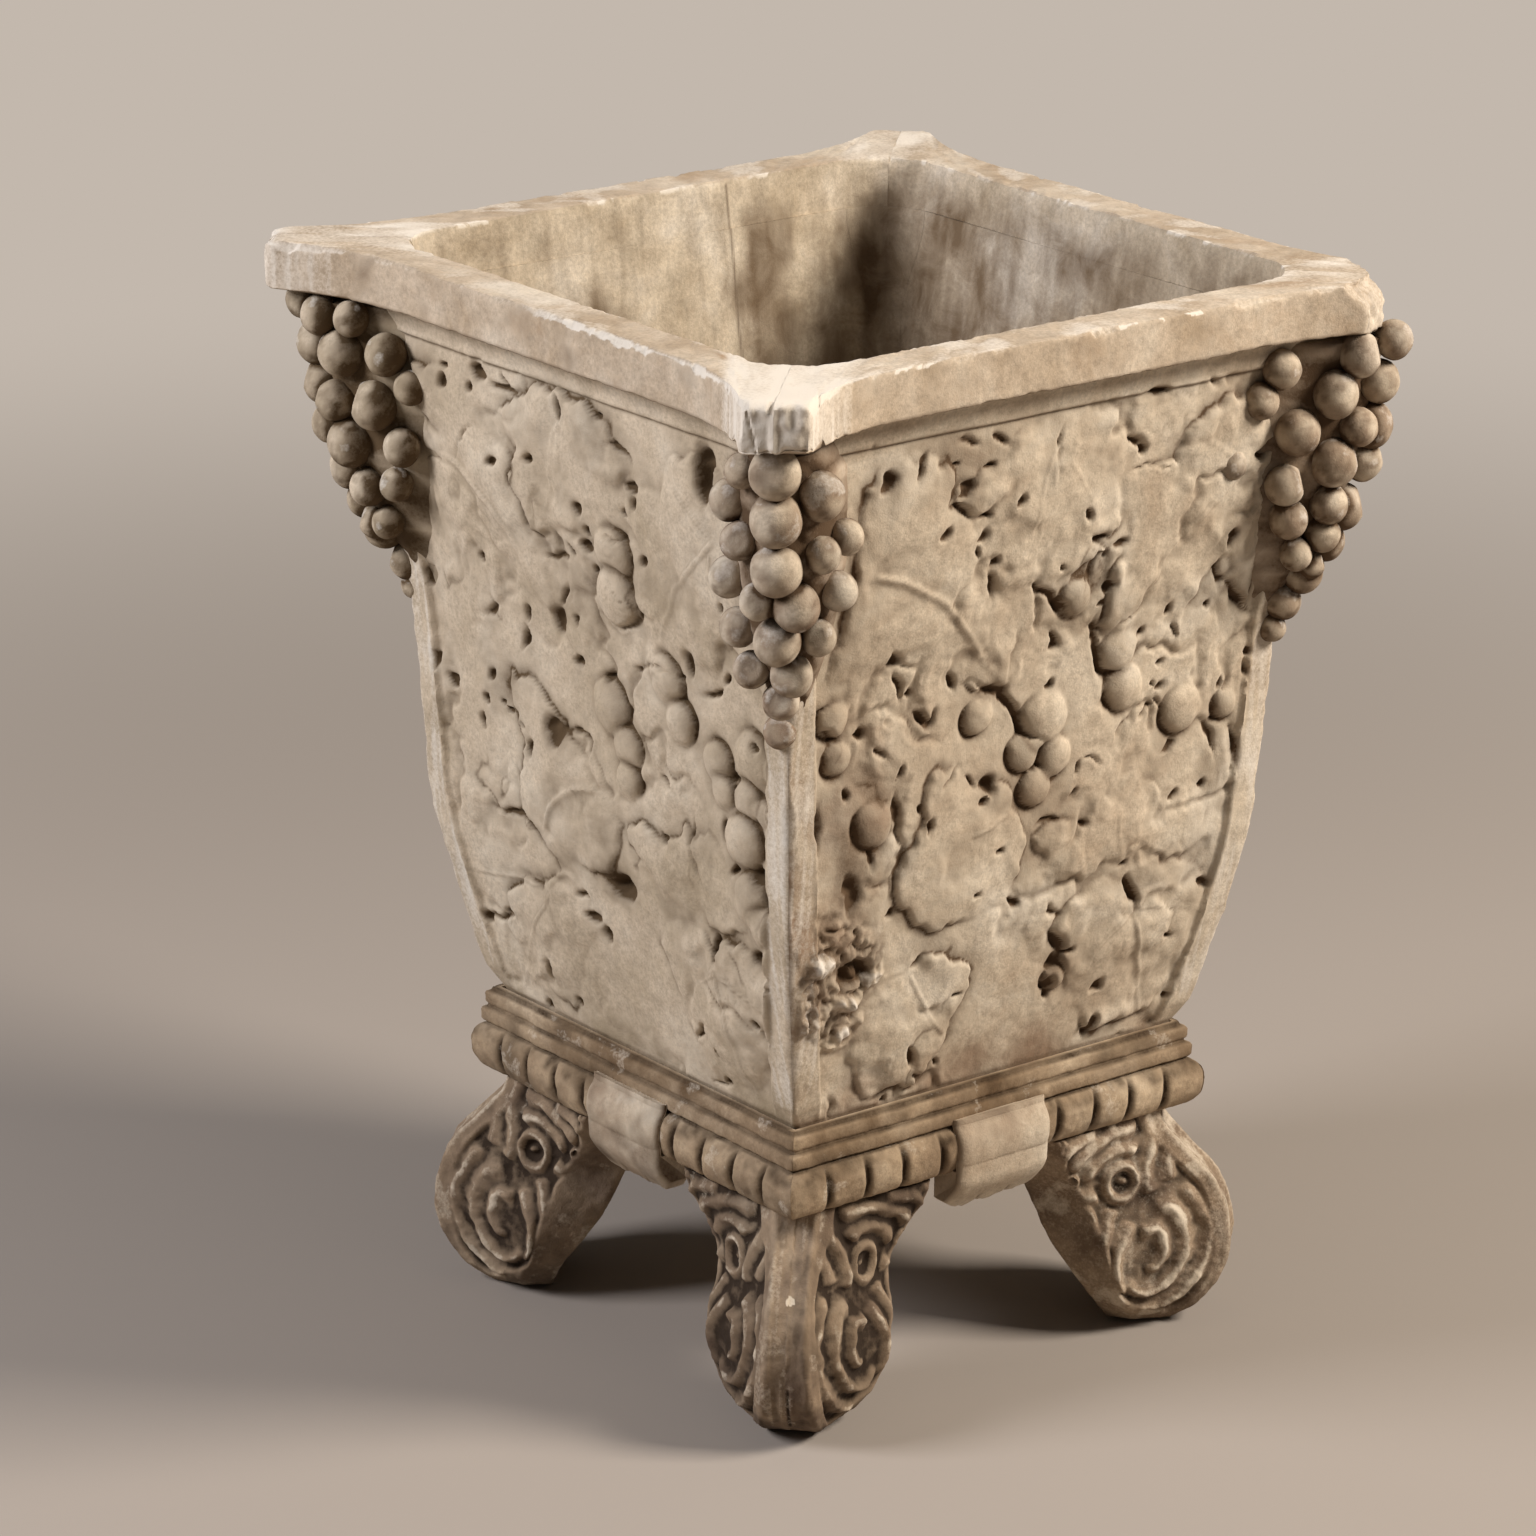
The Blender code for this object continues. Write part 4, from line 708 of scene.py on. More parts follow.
def relief(u, z, side):
    """Height of the carving over the swelling face in millimetres, and how much dirt and painted shade each
    place holds.

    The ground is a soft swell with lobes parted by creases, the absolute value of a noise. A leaf rises
    as rise * (1 - exp(-d / w)) of the distance d inside its ragged outline, crisp (small w) or worn by
    place. A vein is a narrow ridge in a wide shallow fold. Fruit are half-sunk spheres joined to the
    ground by a rounded maximum, with a socket that is deeper on one side.
    Hollows take away their depth where the ellipse number sqrt((x/a)^2 + (y/b)^2) is under 1."""
    own = at(u, z)
    left = side == "left"
    seed = RELIEF_SEEDS[side]
    calm_parts, veins, fruit, grooves, pits, soil_and_shade = LEFT_RELIEF if left else FRONT_RELIEF
    fu, fz = shifted_to_front(u, z) if left else (u, z)
    crisp = ease(-0.45, 0.55, rough(own, 38.0, seed + 40))
    warp_u = rough(own, 16.0, seed)
    warp_z = rough(own, 16.0, seed + 7)
    ragged_u = fu + 2.6 * warp_u + 2.0 * noise(own, 8.0, seed + 4) + 0.5 * noise(own, 3.5, seed + 5)
    ragged_z = fz + 2.6 * warp_z + 2.0 * noise(own, 8.0, seed + 8) + 0.5 * noise(own, 3.5, seed + 9)
    bent = at(u + 5 * warp_u, z + 5 * warp_z)
    lively = ease(-0.25, 0.45, rough(own, 55.0, seed + 31, 2))
    for calm_u, calm_z, half_u, half_z in calm_parts:
        lively = lively * ease(0.7, 1.3, np.hypot((u - calm_u) / half_u, (z - calm_z) / half_z))
    lobes = np.abs(noise(bent, 27.0, seed + 33) + 0.30 * noise(bent, 13.0, seed + 34))
    small = np.abs(noise(bent, 13.0, seed + 36))
    ground = 1.5 * rough(own, 46.0, seed + 12, 2) + 0.14 * rough(own, 8.0, seed + 16)
    ground = ground + lively * (2.5 * ease(0.0, 0.42, lobes) + 0.6 * ease(0.0, 0.5, small) - 1.6)
    height = ground.copy()
    # Painted shade in the creases between the lobes
    dirt_and_shade = lively * (0.62 * ease(0.07, 0.0, lobes) * crisp + 0.22 * ease(0.06, 0.0, small) * crisp)
    for rise, outline in LEAVES:
        part = near(ragged_u, ragged_z, outline, 14)
        inside = inside_distance(ragged_u[part], ragged_z[part], outline)
        sharp = crisp[part]
        slope = 1 - np.exp(-np.clip(inside, 0, None) / (1.3 + 3.6 * (1 - sharp)))
        crown = rise * (0.50 + 0.60 * sharp) * slope
        crown = crown + 1.2 * ease(3, 26, inside)
        moat = -1.9 * sharp * np.exp(np.clip(inside, None, 0) / 2.6) * (inside < 0)
        height[part] = np.maximum(height[part] + moat, crown + 0.85 * ground[part] - 0.5)
        # Painted shade along the foot of the leaf's edge
        dirt_and_shade[part] = np.maximum(dirt_and_shade[part], 0.75 * hill(inside + 1.1, 1.6) * sharp)
    for width, rise, line in veins:
        cu, cz = (u, z) if (width, rise, line) in VEINS_LEFT else (fu, fz)
        part = near(cu, cz, line, 22)
        bent_u, bent_z = cu[part] + 0.8 * warp_u[part], cz[part] + 0.8 * warp_z[part]
        distance, along = line_distance(bent_u, bent_z, curved(line))
        taper = ease(0.0, 0.06, along) * (1 - 0.6 * along)
        wide = 0.8 * width
        fold = -0.55 * rise * hill(distance, 8.0)
        height[part] += (rise * hill(distance, wide) + fold) * taper
        # Painted shade along both flanks of the vein
        dirt_and_shade[part] = np.maximum(dirt_and_shade[part], 0.30 * hill(distance - 1.5 * wide, 0.9) * crisp[part])
    # Fruit are painted darker on the side the lean points to, away from the light
    lean = math.radians(35.0 if left else 215.0)
    flat = 0.62 if left else 0.66
    for fruit_u, fruit_z, radius in fruit:
        part = near(u, z, ((fruit_u, fruit_z),), radius * 1.2 + 12)
        du, dz = u[part] - fruit_u + 0.9 * warp_u[part], z[part] - fruit_z + 0.9 * warp_z[part]
        across = np.hypot(du, dz * np.where(dz < 0, 0.88, 0.98))
        facing = ease(-0.4, 1.0, np.cos(np.arctan2(dz, du) - lean))
        cap = np.sqrt(np.clip(radius ** 2 - across ** 2, 0, None)) - 0.42 * radius
        ball = np.where(across < radius, np.median(height[part]) + flat * cap, -30.0)
        ring = (0.2 + 3.4 * facing) * hill(np.clip(across - radius * 0.93, 0, None), 1.2 + 2.6 * facing)
        height[part] = soft_max(height[part] - ring, ball, 0.5 + 1.6 * (1 - facing))
        # Painted shade: a dark ring round the fruit and a dark crescent on its lean side
        gap = hill(across - radius * 0.98, 1.0 + 1.8 * facing) * (0.10 + 0.50 * facing)
        shade = 0.20 * ease(0.45, 1.0, across / radius) * facing * (across < radius)
        dirt_and_shade[part] = np.maximum(dirt_and_shade[part], np.maximum(gap, shade))
    carve_u = u + 1.5 * noise(own, 7.0, seed + 21) + 0.5 * noise(own, 3.0, seed + 23)
    carve_z = z + 1.5 * noise(own, 7.0, seed + 22) + 0.5 * noise(own, 3.0, seed + 24)
    cut = np.zeros(u.shape)
    for width, depth, line in grooves:
        part = near(u, z, line, width * 2 + 4)
        distance, along = line_distance(carve_u[part], carve_z[part], curved(line))
        ends = ease(0, 0.3, along) * ease(1.0, 0.6, along) * 0.75 + 0.25
        reach = width * (0.45 + 0.55 * ends)
        cut[part] = np.maximum(cut[part], depth * ends * ease(reach * 1.3, reach * 0.1, distance))
    for pit_u, pit_z, long, short, turn in pits:
        part = near(u, z, ((pit_u, pit_z),), long * 1.8 + 3)
        angle = math.radians(turn)
        du, dz = carve_u[part] - pit_u, carve_z[part] - pit_z
        x = (du * math.cos(angle) + dz * math.sin(angle)) / long
        y = (-du * math.sin(angle) + dz * math.cos(angle)) / (short * (1 + 0.35 * np.clip(x, -1, 1)))
        depth = min(7.0, 2.6 + 0.7 * short) if long < DEEP_PIT_LENGTH else DEEP_PIT_DEPTH
        cut[part] = np.maximum(cut[part], depth * ease(1.15, 0.25, np.hypot(x, y)))
    height -= cut
    # Dirt and painted shade in the hollows and grooves
    dirt_and_shade = np.maximum(dirt_and_shade, 0.85 * ease(0.9, 4.4, cut))
    # Soiled parts, and on the front a painted shade along the top under the rim
    for soil_u, soil_z, half_u, half_z, amount in soil_and_shade:
        spread = ease(1.25, 0.2, np.hypot((u - soil_u) / half_u, (z - soil_z) / half_z) + 0.35 * warp_u)
        dirt_and_shade = dirt_and_shade + 0.8 * amount * spread * (0.75 + 0.6 * noise(own, 9.0, seed + 61))
    return height, dirt_and_shade


def damage(u, z):
    """Broken lump on the front side by the photographed corner: a rough mound of fragments with a dark
    cavity in its middle. Gives extra height, cavity depth share and fresh-break share."""
    own = at(u, z)
    inside = inside_distance(u + 3 * noise(own, 8, 301), z + 3 * noise(own, 8, 302), BREAK_OUTLINE)
    body = ease(-1.0, 6.0, inside)
    lumps = np.abs(rough(own, 15.0, 303, 4))
    extra = body * (5.5 * lumps + 1.2 * rough(own, 3.5, 309) - 0.5)
    cavity_u, cavity_z, cavity_long, cavity_short = BREAK_CAVITY
    cavity = ease(1.15, 0.5, np.hypot((u - cavity_u) / cavity_long, (z - cavity_z) / cavity_short))
    fresh = 0.0
    for place_u, place_z, long, short in BREAK_FRAGMENTS:
        fresh = np.maximum(fresh, ease(1.25, 0.5, np.hypot((u - place_u) / long, (z - place_z) / short)))
    fresh = fresh * (0.55 + 0.45 * noise(own, 4.0, 311))
    extra = extra + 4.0 * fresh - 9.0 * cavity
    # The cavity and the low places between the lumps are painted dark: shade and dirt
    return extra, np.maximum(cavity, body * ease(0.25, -0.3, lumps - 0.35) * 0.55), fresh * body


# How stained the inner face of each side is, before its blotches, in the order of SIDES; the right side's
# higher value and the back's lower one paint shade and light on these faces
INNER_STAIN_AND_SHADE = (0.25, 0.40, -0.02, 0.25)
# Place of the seam that runs down the inner face of the back, in millimetres along it
SEAM_U = -62


def inner_marks(u, z, turn):
    """Stain, dirt and painted shade of the inner face in millimetres along it and up: blotches, runs down the
    wall, painted shade that deepens towards the corners, and more stain below, fading at the rim."""
    own = at(u, z)
    blots = rough(own, 42, 901 + turn, 4)
    runs = rough(own * (1.0, 0.12), 11, 905 + turn, 3)
    seam = hill(u - SEAM_U + 2 * noise(own, 30, 911), 1.1) * (turn == 2)
    # Painted shade towards the inner corners
    near_end = ease(62, 8, wall_inner(z * MM) / MM - np.abs(u) - 20)
    stain = INNER_STAIN_AND_SHADE[turn] + 0.55 * ease(-0.1, 0.9, blots) + 0.25 * runs
    stain = stain + 0.34 * near_end * (0.6 + 0.6 * blots)
    stain = (stain + 0.25 * ease(610, 560, z)) * ease(662, 630, z + 10 * blots) + 0.10
    dirt_and_shade = 0.24 * ease(0.35, 1.0, blots + 0.3 * near_end) + 0.12 * near_end * ease(-0.2, 0.6, runs)
    return stain, np.maximum(dirt_and_shade * ease(655, 620, z + 8 * runs), 0.6 * seam)


# Points along a panel, and rows up its face, its cavetto and its inner side
WALL_COLUMNS, WALL_ROWS, CAVETTO_ROWS, INNER_ROWS = 300, 264, 14, 40
# Hollow quarter round of an inner corner: its radius, and how much more it has under the rim
INNER_CORNER_RADIUS, INNER_CORNER_OPENING = 0.015, 0.0196
FILLET_ROWS, FILLET_COLUMNS = 60, 25
# From where to where, in millimetres, the carving runs out: off the body corner, under the cavetto and above
# the moulding
PANEL_SIDE, PANEL_TOP, PANEL_FOOT = (13.0, 18.5), (616, 611), (190.5, 194)
# How far off the body corner the band falls away to the ground
BAND_EDGE = (19.0, 15.8)
# Where the broken lump covers the band too: off the body corner, from this level and up to this one
LUMP_SIDE, LUMP_FOOT, LUMP_TOP = (-1.0, 3.0), (238, 262), (330, 300)
# Stained part of the front by the photographed corner: where it fades along the side, above and below
STAINED_SIDE, STAINED_TOP, STAINED_FOOT = (-88, -125), (480, 380), (225, 270)


def wall_marks(u, z, turn, edge, panel, height, hollow, fresh):
    """Dirt with painted shade, stain and chips of a panel's outer face, from its carving: painted shade where
    the face is sunk against its blurred self, and a haze about each hollow."""
    own = at(u / MM, z / MM)
    stain = np.zeros(u.shape)
    if turn == 0:
        soiled = ease(*STAINED_SIDE, u / MM) * ease(*STAINED_TOP, z / MM) * ease(*STAINED_FOOT, z / MM)
        stain = np.maximum(stain, soiled * (0.55 + 0.4 * rough(own, 30, 331)))
    stain = np.maximum(stain, ease(240, 190, z / MM) * (0.32 + 0.5 * rough(own, 35, 333 + turn)))
    band_runs = noise(own * (1.0, 0.06), 2.6, 337 + turn) + 0.6 * rough(own, 24, 339 + turn)
    chip_and_highlight = np.maximum(fresh, (0.30 + 0.20 * band_runs) * ease(16.5, 13.5, edge) * ease(196, 215, z / MM))
    carved = height * panel
    # Painted shade where the carving is sunk below its blurred self, close by and wider
    sink = np.clip(blurred(carved, 1.8, 1.8) - carved, 0, None)
    wide_sink = np.clip(blurred(carved, 5, 5) - carved, 0, 4)
    haze = np.clip(0.9 * blurred(hollow * panel, 3.5, 3.5) + 0.15 * wide_sink, 0, 0.65)
    haze = haze + 0.16 * ease(0.0, 0.9, rough(own, 34, 351 + turn)) * panel
    dirt_and_shade = np.maximum(hollow * panel, haze) + np.clip(0.16 * sink, 0, 0.4)
    # Painted shade in a line where the face turns into the cavetto
    dirt_and_shade = np.maximum(dirt_and_shade, 0.55 * ease(614, 611.5, z / MM) * ease(609, 611, z / MM))
    # Painted shade in the groove at the foot of the face, above the moulding
    return np.maximum(dirt_and_shade, 0.6 * ease(195, 191, z / MM)), stain, chip_and_highlight


def wall_piece(turn, material):
    """Carved panel: a grid of outer points, straight columns inside, closed above, below and at the mitres.

    Outer half-width = swell + corner band + relief. The body corner is rounded: within its radius R the
    places run along an arc of 45 degrees up to the mitre."""
    side = SIDES[turn]
    rows = np.concatenate([[WALL_Z0], np.linspace(FACE_Z0, CAVETTO_Z0, WALL_ROWS),
                           np.linspace(CAVETTO_Z0 + 0.0008, WALL_Z1, CAVETTO_ROWS)])
    share = np.linspace(-1, 1, WALL_COLUMNS)[None, :]
    z = rows[:, None]
    flat = body_half(z)
    corner = flat + band_rise(z)
    u = share * corner
    z = z + 0 * u
    height, hollow = relief(u / MM, z / MM, side)
    own = at(u / MM, z / MM)
    edge = (flat - np.abs(u)) / MM
    panel = ease(*PANEL_SIDE, edge) * ease(*PANEL_TOP, z / MM) * ease(*PANEL_FOOT, z / MM)
    fresh = np.zeros(u.shape)
    if side == "front":
        extra, cavity, fresh = damage(u / MM, z / MM)
        height = height + extra
        hollow = np.maximum(hollow, cavity)
        lump = ease(*LUMP_SIDE, edge) * ease(*LUMP_FOOT, z / MM) * ease(*LUMP_TOP, z / MM)
        panel = np.maximum(panel, lump * (u < 0))
    dirt_and_shade, stain, chip_and_highlight = wall_marks(u, z, turn, edge, panel, height, hollow, fresh)
    band = band_rise(z) * ease(*BAND_EDGE, edge)
    wear = 0.25 * rough(own, 5.0, 341 + turn) + 0.5 * rough(own, 40.0, 345 + turn) * (1 - panel)
    out = flat + band + (height * panel + wear) * MM * ease(0.1895, 0.1915, z)
    upright = at(z / MM, 0 * z)
    for sign, number in ((-1, turn), (1, (turn + 1) % 4)):
        radius = (4.5 + 2.0 * noise(upright, 22, 401 + number) + 1.2 * noise(upright, 6, 411 + number)) * MM
        past = sign * u - (corner - radius)
        angle = np.clip(past / radius, 0, 1) * math.pi / 4
        bent = past > 0
        u = np.where(bent, sign * (corner - radius + radius * np.sin(angle)), u)
        out = np.where(bent, corner - radius + radius * np.cos(angle), out)
    u = np.clip(u, -(out - JOINT), out - JOINT)
    levels = np.linspace(RIM_Z0 - JOINT, WALL_Z0, INNER_ROWS)[:, None]
    half = wall_inner(levels)
    inner_u = share * (half - JOINT)
    damp_and_shade, darkening = inner_marks(inner_u / MM, levels / MM + 0 * inner_u, turn)
    points = np.concatenate([at(u, -out, z), at(inner_u, -half, levels)])
    count = len(points)
    across = np.arange(WALL_COLUMNS - 1)
    low = (count - 1) * WALL_COLUMNS
    sole = np.stack([low + across, low + across + 1, across + 1, across], axis=-1)
    left_end = np.arange(count) * WALL_COLUMNS
    right_end = left_end[::-1] + WALL_COLUMNS - 1
    faces = [grid_faces(count, WALL_COLUMNS), sole, left_end[None, :], right_end[None, :]]
    inner_faces = np.repeat(np.arange(count - 1) >= len(rows) - 1, WALL_COLUMNS - 1)
    marks = {"dirt_and_shade": np.concatenate([dirt_and_shade, darkening]), "stain": np.concatenate([stain, damp_and_shade]),
             "chip_and_highlight": np.concatenate([chip_and_highlight, 0 * darkening])}
    add_piece(f"carved_panel_{side}", f"wall_panel_{side}", "aged_cast_plaster", points, turn, faces,
              [material, inner_plaster], marks, np.concatenate([inner_faces, np.ones(len(sole)), [0, 0]]), 60)


for turn, material in enumerate((front_plaster, front_plaster, left_plaster, left_plaster)):
    wall_piece(turn, material)


def corner_fillet_piece(turn):
    """Inner corner run round with plaster: a hollow quarter round between two feather edges on the walls,
    opening under the rim."""
    name = CORNERS[turn]
    levels = np.linspace(RIM_Z0 - JOINT, WALL_Z0, FILLET_ROWS)[:, None]
    radius = INNER_CORNER_RADIUS + INNER_CORNER_OPENING * ease(0.560, 0.628, levels)
    half = wall_inner(levels) - 2 * JOINT
    angle = np.linspace(0, math.pi / 2, FILLET_COLUMNS)[None, :]
    near_x = half - radius + (radius - JOINT) * np.sin(angle)
    near_y = half - radius + (radius - JOINT) * np.cos(angle)
    x = -np.concatenate([near_x, half, half, half - radius], axis=1)
    y = -np.concatenate([near_y, half - radius, half, half], axis=1)
    z = levels + 0 * x
    own_share = ease(0.75, 0.25, np.concatenate([angle / (math.pi / 2), [[1, 0.5, 0]]], axis=1))
    damp_and_shade, darkening = inner_marks(x / MM, z / MM, turn)
    next_damp_and_shade, next_darkening = inner_marks(-y / MM, z / MM, (turn + 3) % 4)
    # Painted shade down the middle of the rounded corner, up to just under the rim
    middle = hill(own_share - 0.5, 0.16) * ease(0.630, 0.600, levels)
    marks = {"dirt_and_shade": own_share * darkening + (1 - own_share) * next_darkening + 0.14 * middle,
             "stain": own_share * damp_and_shade + (1 - own_share) * next_damp_and_shade, "chip_and_highlight": 0 * x}
    add_piece(f"rounded_inner_corner_{name}", f"corner_fillet_{name}", "aged_cast_plaster", at(x, y, z), turn,
              tube_faces(FILLET_ROWS, x.shape[1], flipped=True), [inner_plaster], marks, None, 60)


for turn in range(4):
    corner_fillet_piece(turn)


# Rim

# Points along a rim length
RIM_COLUMNS = 420
# Section round from the inner bottom edge: the face, and the share of the way over it
INNER, TOP, OUTER, BOTTOM = range(4)
RIM_SECTION = [(face, share) for face, count in ((INNER, 8), (TOP, 14), (OUTER, 20), (BOTTOM, 8))
               for share in np.linspace(0, 1, count + 1)[:-1]]
# Radius of the opening's corners in plan
OPENING_RADIUS = 0.039
# Each ear ends in a blunt nose across the diagonal, and the rim sweeps out to it from FLARE_START
EAR_REACH, EAR_NOSE_HALF, FLARE_START = 0.3425, 0.0188, 0.1250
# The nose's upright corners are rounded from this far before, with this drop, to this far after
ROUND_BEFORE, ROUND_DROP, ROUND_AFTER = 0.0055, 0.0036, 0.0046
# How freshly broken each corner's ear is, in the order of CORNERS
FRESH = (1.0, 0.35, 0.55, 0.65)
# How far from a mitre the breaks of its ear fade out and are full
EAR_BREAK_ENDS = (0.095, 0.030)
# How fresh the long break is that runs along the left length's upper outer arris, and how far from the
# length's end it fades out and is full, in millimetres
LONG_BREAK, LONG_BREAK_ENDS = 0.85, (290, 215)
# Crack across the left length's outer face, in millimetres: its place from the length's end, how much it
# leans for each one up, and its half-width
RIM_CRACK_PLACE, RIM_CRACK_LEAN, RIM_CRACK_WIDTH = 9, 0.22, 0.8
# Orange stain on top of the left length: place from its end and across it, half-length and half-width
ORANGE_ALONG, ORANGE_ACROSS, ORANGE_LONG, ORANGE_SHORT = 62, 14, 16, 6
# How worn and how soiled the top of each length is, in the order of SIDES
TOP_WEAR = (1.1, 1.0, 1.0, 0.85)
TOP_SOIL = (0.0, 0.14, 0.14, 0.08)
# The ear at the second corner is broken off and worn round at this reach
BROKEN_REACH = 0.3170


def even_line(places, count):
    """Points spread evenly by length along a polyline."""
    places = np.asarray(places, dtype=float)
    steps = np.hypot(*np.diff(places, axis=0).T)
    gone = np.concatenate([[0], np.cumsum(steps)])
    where = np.linspace(0, gone[-1], count)
    return np.stack([np.interp(where, gone, places[:, axis]) for axis in range(2)], axis=-1)


def rim_lines():
    """Outer and inner line of a rim length in plan, from mitre to mitre: outside a straight that sweeps out
    by s^2.4 to the ear's nose and rounds into it, inside a straight between arcs."""
    tip_u = (EAR_REACH - EAR_NOSE_HALF) * DIAGONAL
    tip_out = (EAR_REACH + EAR_NOSE_HALF) * DIAGONAL
    sweep_u = tip_u - ROUND_BEFORE - FLARE_START
    sweep_out = tip_out - ROUND_DROP - RIM_HALF
    outer = [(0.0, RIM_HALF)]
    outer += [(FLARE_START + sweep_u * s, RIM_HALF + sweep_out * s ** 2.4) for s in np.linspace(0, 1, 16)]
    outer += [(tip_u + ROUND_AFTER * s * s - ROUND_BEFORE * (1 - s) ** 2,
               tip_out - ROUND_AFTER * s * s - ROUND_DROP * (1 - s) ** 2) for s in (0.2, 0.4, 0.6, 0.8, 1.0)]
    outer += [(EAR_REACH * DIAGONAL, EAR_REACH * DIAGONAL)]
    centre = OPENING_HALF - OPENING_RADIUS
    inner = [(0.0, OPENING_HALF)]
    inner += [(centre + OPENING_RADIUS * math.sin(a), centre + OPENING_RADIUS * math.cos(a))
              for a in np.linspace(0, math.pi / 4, 8)]
    halves = [np.array(line) for line in (outer, inner)]
    return [even_line(np.concatenate([half[::-1] * (-1, 1), half[1:]]), RIM_COLUMNS) for half in halves]


def rim_piece(turn):
    """Eared rim length: a closed section carried from mitre to mitre between the two lines of its plan.

    Chips are cuts at 45 degrees across an arris: where a point lies beyond the plane it is put back
    on it, and the plane's depth varies along the rim."""
    side = SIDES[turn]
    outer, inner = rim_lines()
    across = outer - inner
    width = np.hypot(across[:, 0], across[:, 1])
    across /= width[:, None]
    width = width[:, None]
    kind = np.array([face for face, _ in RIM_SECTION])[None, :]
    t = np.array([share for _, share in RIM_SECTION])[None, :]
    outer_face = kind == OUTER
    top_face = kind == TOP
    thick = RIM_Z1 - RIM_Z0
    z = np.select([kind == INNER, top_face, outer_face],
                  [RIM_Z0 + thick * t, RIM_Z1, RIM_Z1 - thick * t], RIM_Z0)
    z = z + np.zeros((RIM_COLUMNS, 1))
    way = np.select([kind == INNER, top_face, outer_face], [0 * t, t, 1 + 0 * t], 1 - t)
    depth = way * width - (wall_inner(RIM_Z1) - wall_inner(z)) * (1 - way) * (kind != TOP)
    along = np.cumsum(np.concatenate([[0], np.hypot(*np.diff(outer, axis=0).T)]))[:, None] + 0 * z
    back = along[-1:] - along
    key = at(along / MM, z / MM + depth / MM)
    line = at(along / MM, turn * 50)
    level_edge = np.where(kind == INNER, ease(RIM_Z0 + 0.001, RIM_Z0 + 0.012, z), 1.0)
    depth = depth + 0.35 * MM * rough(key, 9, 501 + turn) * level_edge
    z = z + 0.35 * MM * rough(key, 12, 511 + turn) * top_face
    nose = np.maximum(FRESH[turn] * ease(*EAR_BREAK_ENDS, along),
                      FRESH[(turn + 1) % 4] * ease(*EAR_BREAK_ENDS, back))
    away = back / MM
    crack = hill(away - RIM_CRACK_PLACE - RIM_CRACK_LEAN * (z - RIM_Z0) / MM, RIM_CRACK_WIDTH)
    crack = crack * outer_face * (turn == 3)
    run = np.maximum(nose, (turn == 3) * LONG_BREAK * ease(*LONG_BREAK_ENDS, away))
    chips_outer = 0.7 + 2.8 * bumps(line, 26, 521) + 2.4 * bumps(line, 9, 525)
    chips_outer = chips_outer + run * (2.0 + 5.5 * bumps(line, 14, 531))
    chips_inner = 1.0 + 2.2 * bumps(line, 18, 541)
    chips_under = 1.2 + 1.6 * bumps(line, 16, 551) + nose * (1.5 + 5.0 * bumps(line, 12, 557))
    chip_and_highlight = np.zeros(z.shape)
    for sign_depth, sign_z, reach, amount in ((1, 1, width, chips_outer), (-1, 1, 0 * width, chips_inner),
                                              (1, -1, width, chips_under)):
        level = RIM_Z1 if sign_z > 0 else RIM_Z0
        beyond = sign_depth * (depth - reach) + sign_z * (z - level) + amount * MM
        beyond = np.clip(beyond + 0.5 * MM * noise(key, 4, 561) * (beyond > 0), 0, None)
        depth = depth - sign_depth * beyond / 2
        z = z - sign_z * beyond / 2
        if sign_z > 0:
            chip_and_highlight = np.maximum(chip_and_highlight, (0.28 + 0.5 * run) * ease(0.0, 1.6 * MM, beyond) * ease(0.6, 3.4, amount))
            flakes = ease(0.10, 0.45, rough(line, 11, 565 + turn, 4)) * ease(-0.1, 0.3, noise(line, 58, 569))
            chip_and_highlight = np.maximum(chip_and_highlight, 0.95 * (flakes * ease(0.0, 0.5 * MM, beyond)))
    facets = np.abs(noise(at(along / MM, z / MM * 0.22), 5.5, 577 + turn))
    lumps = rough(at(along / MM, z / MM), 11, 579 + turn)
    off_mitre = ease(0.0, 0.004, np.minimum(along, back)) * outer_face
    depth = depth + (1.4 * lumps - 2.0 * facets) * MM * nose * off_mitre - 1.2 * MM * crack
    u = inner[:, None, 0] + across[:, None, 0] * depth
    out = inner[:, None, 1] + across[:, None, 1] * depth
    broken = np.zeros(z.shape)
    if turn < 2:
        # The broken ear lies at the end of the front length and at the start of the right one
        end = 1 if turn == 0 else -1
        level = (z - RIM_Z0) / thick
        spot = at((out - end * u) / MM, z / MM)
        limit = BROKEN_REACH - 0.010 * level ** 3 - 0.28 * np.abs(out - end * u)
        limit = limit + 0.0016 * rough(spot, 9, 553)
        beyond = np.clip((out + end * u) * DIAGONAL - limit, 0, None)
        u = u - end * beyond * DIAGONAL
        out = out - beyond * DIAGONAL
        z = z - 0.10 * beyond * level
        broken = ease(0.0, 0.003, beyond)
    u = np.clip(u, -(out - JOINT), out - JOINT)
    spread = rough(at(along / MM, depth / MM), 30, 571 + turn)
    worn_top = TOP_WEAR[turn] * (0.12 + 0.34 * ease(-0.2, 0.8, spread)) + 0.45 * nose
    chip_and_highlight = np.maximum(chip_and_highlight, top_face * worn_top * ease(-0.9, 0.4, spread + nose))
    face_runs = noise(at(along / MM, z / MM * 0.08), 3.2, 575 + turn)
    chip_and_highlight = np.maximum(chip_and_highlight, outer_face * nose * (0.52 + 0.40 * ease(-0.1, 0.7, face_runs)))
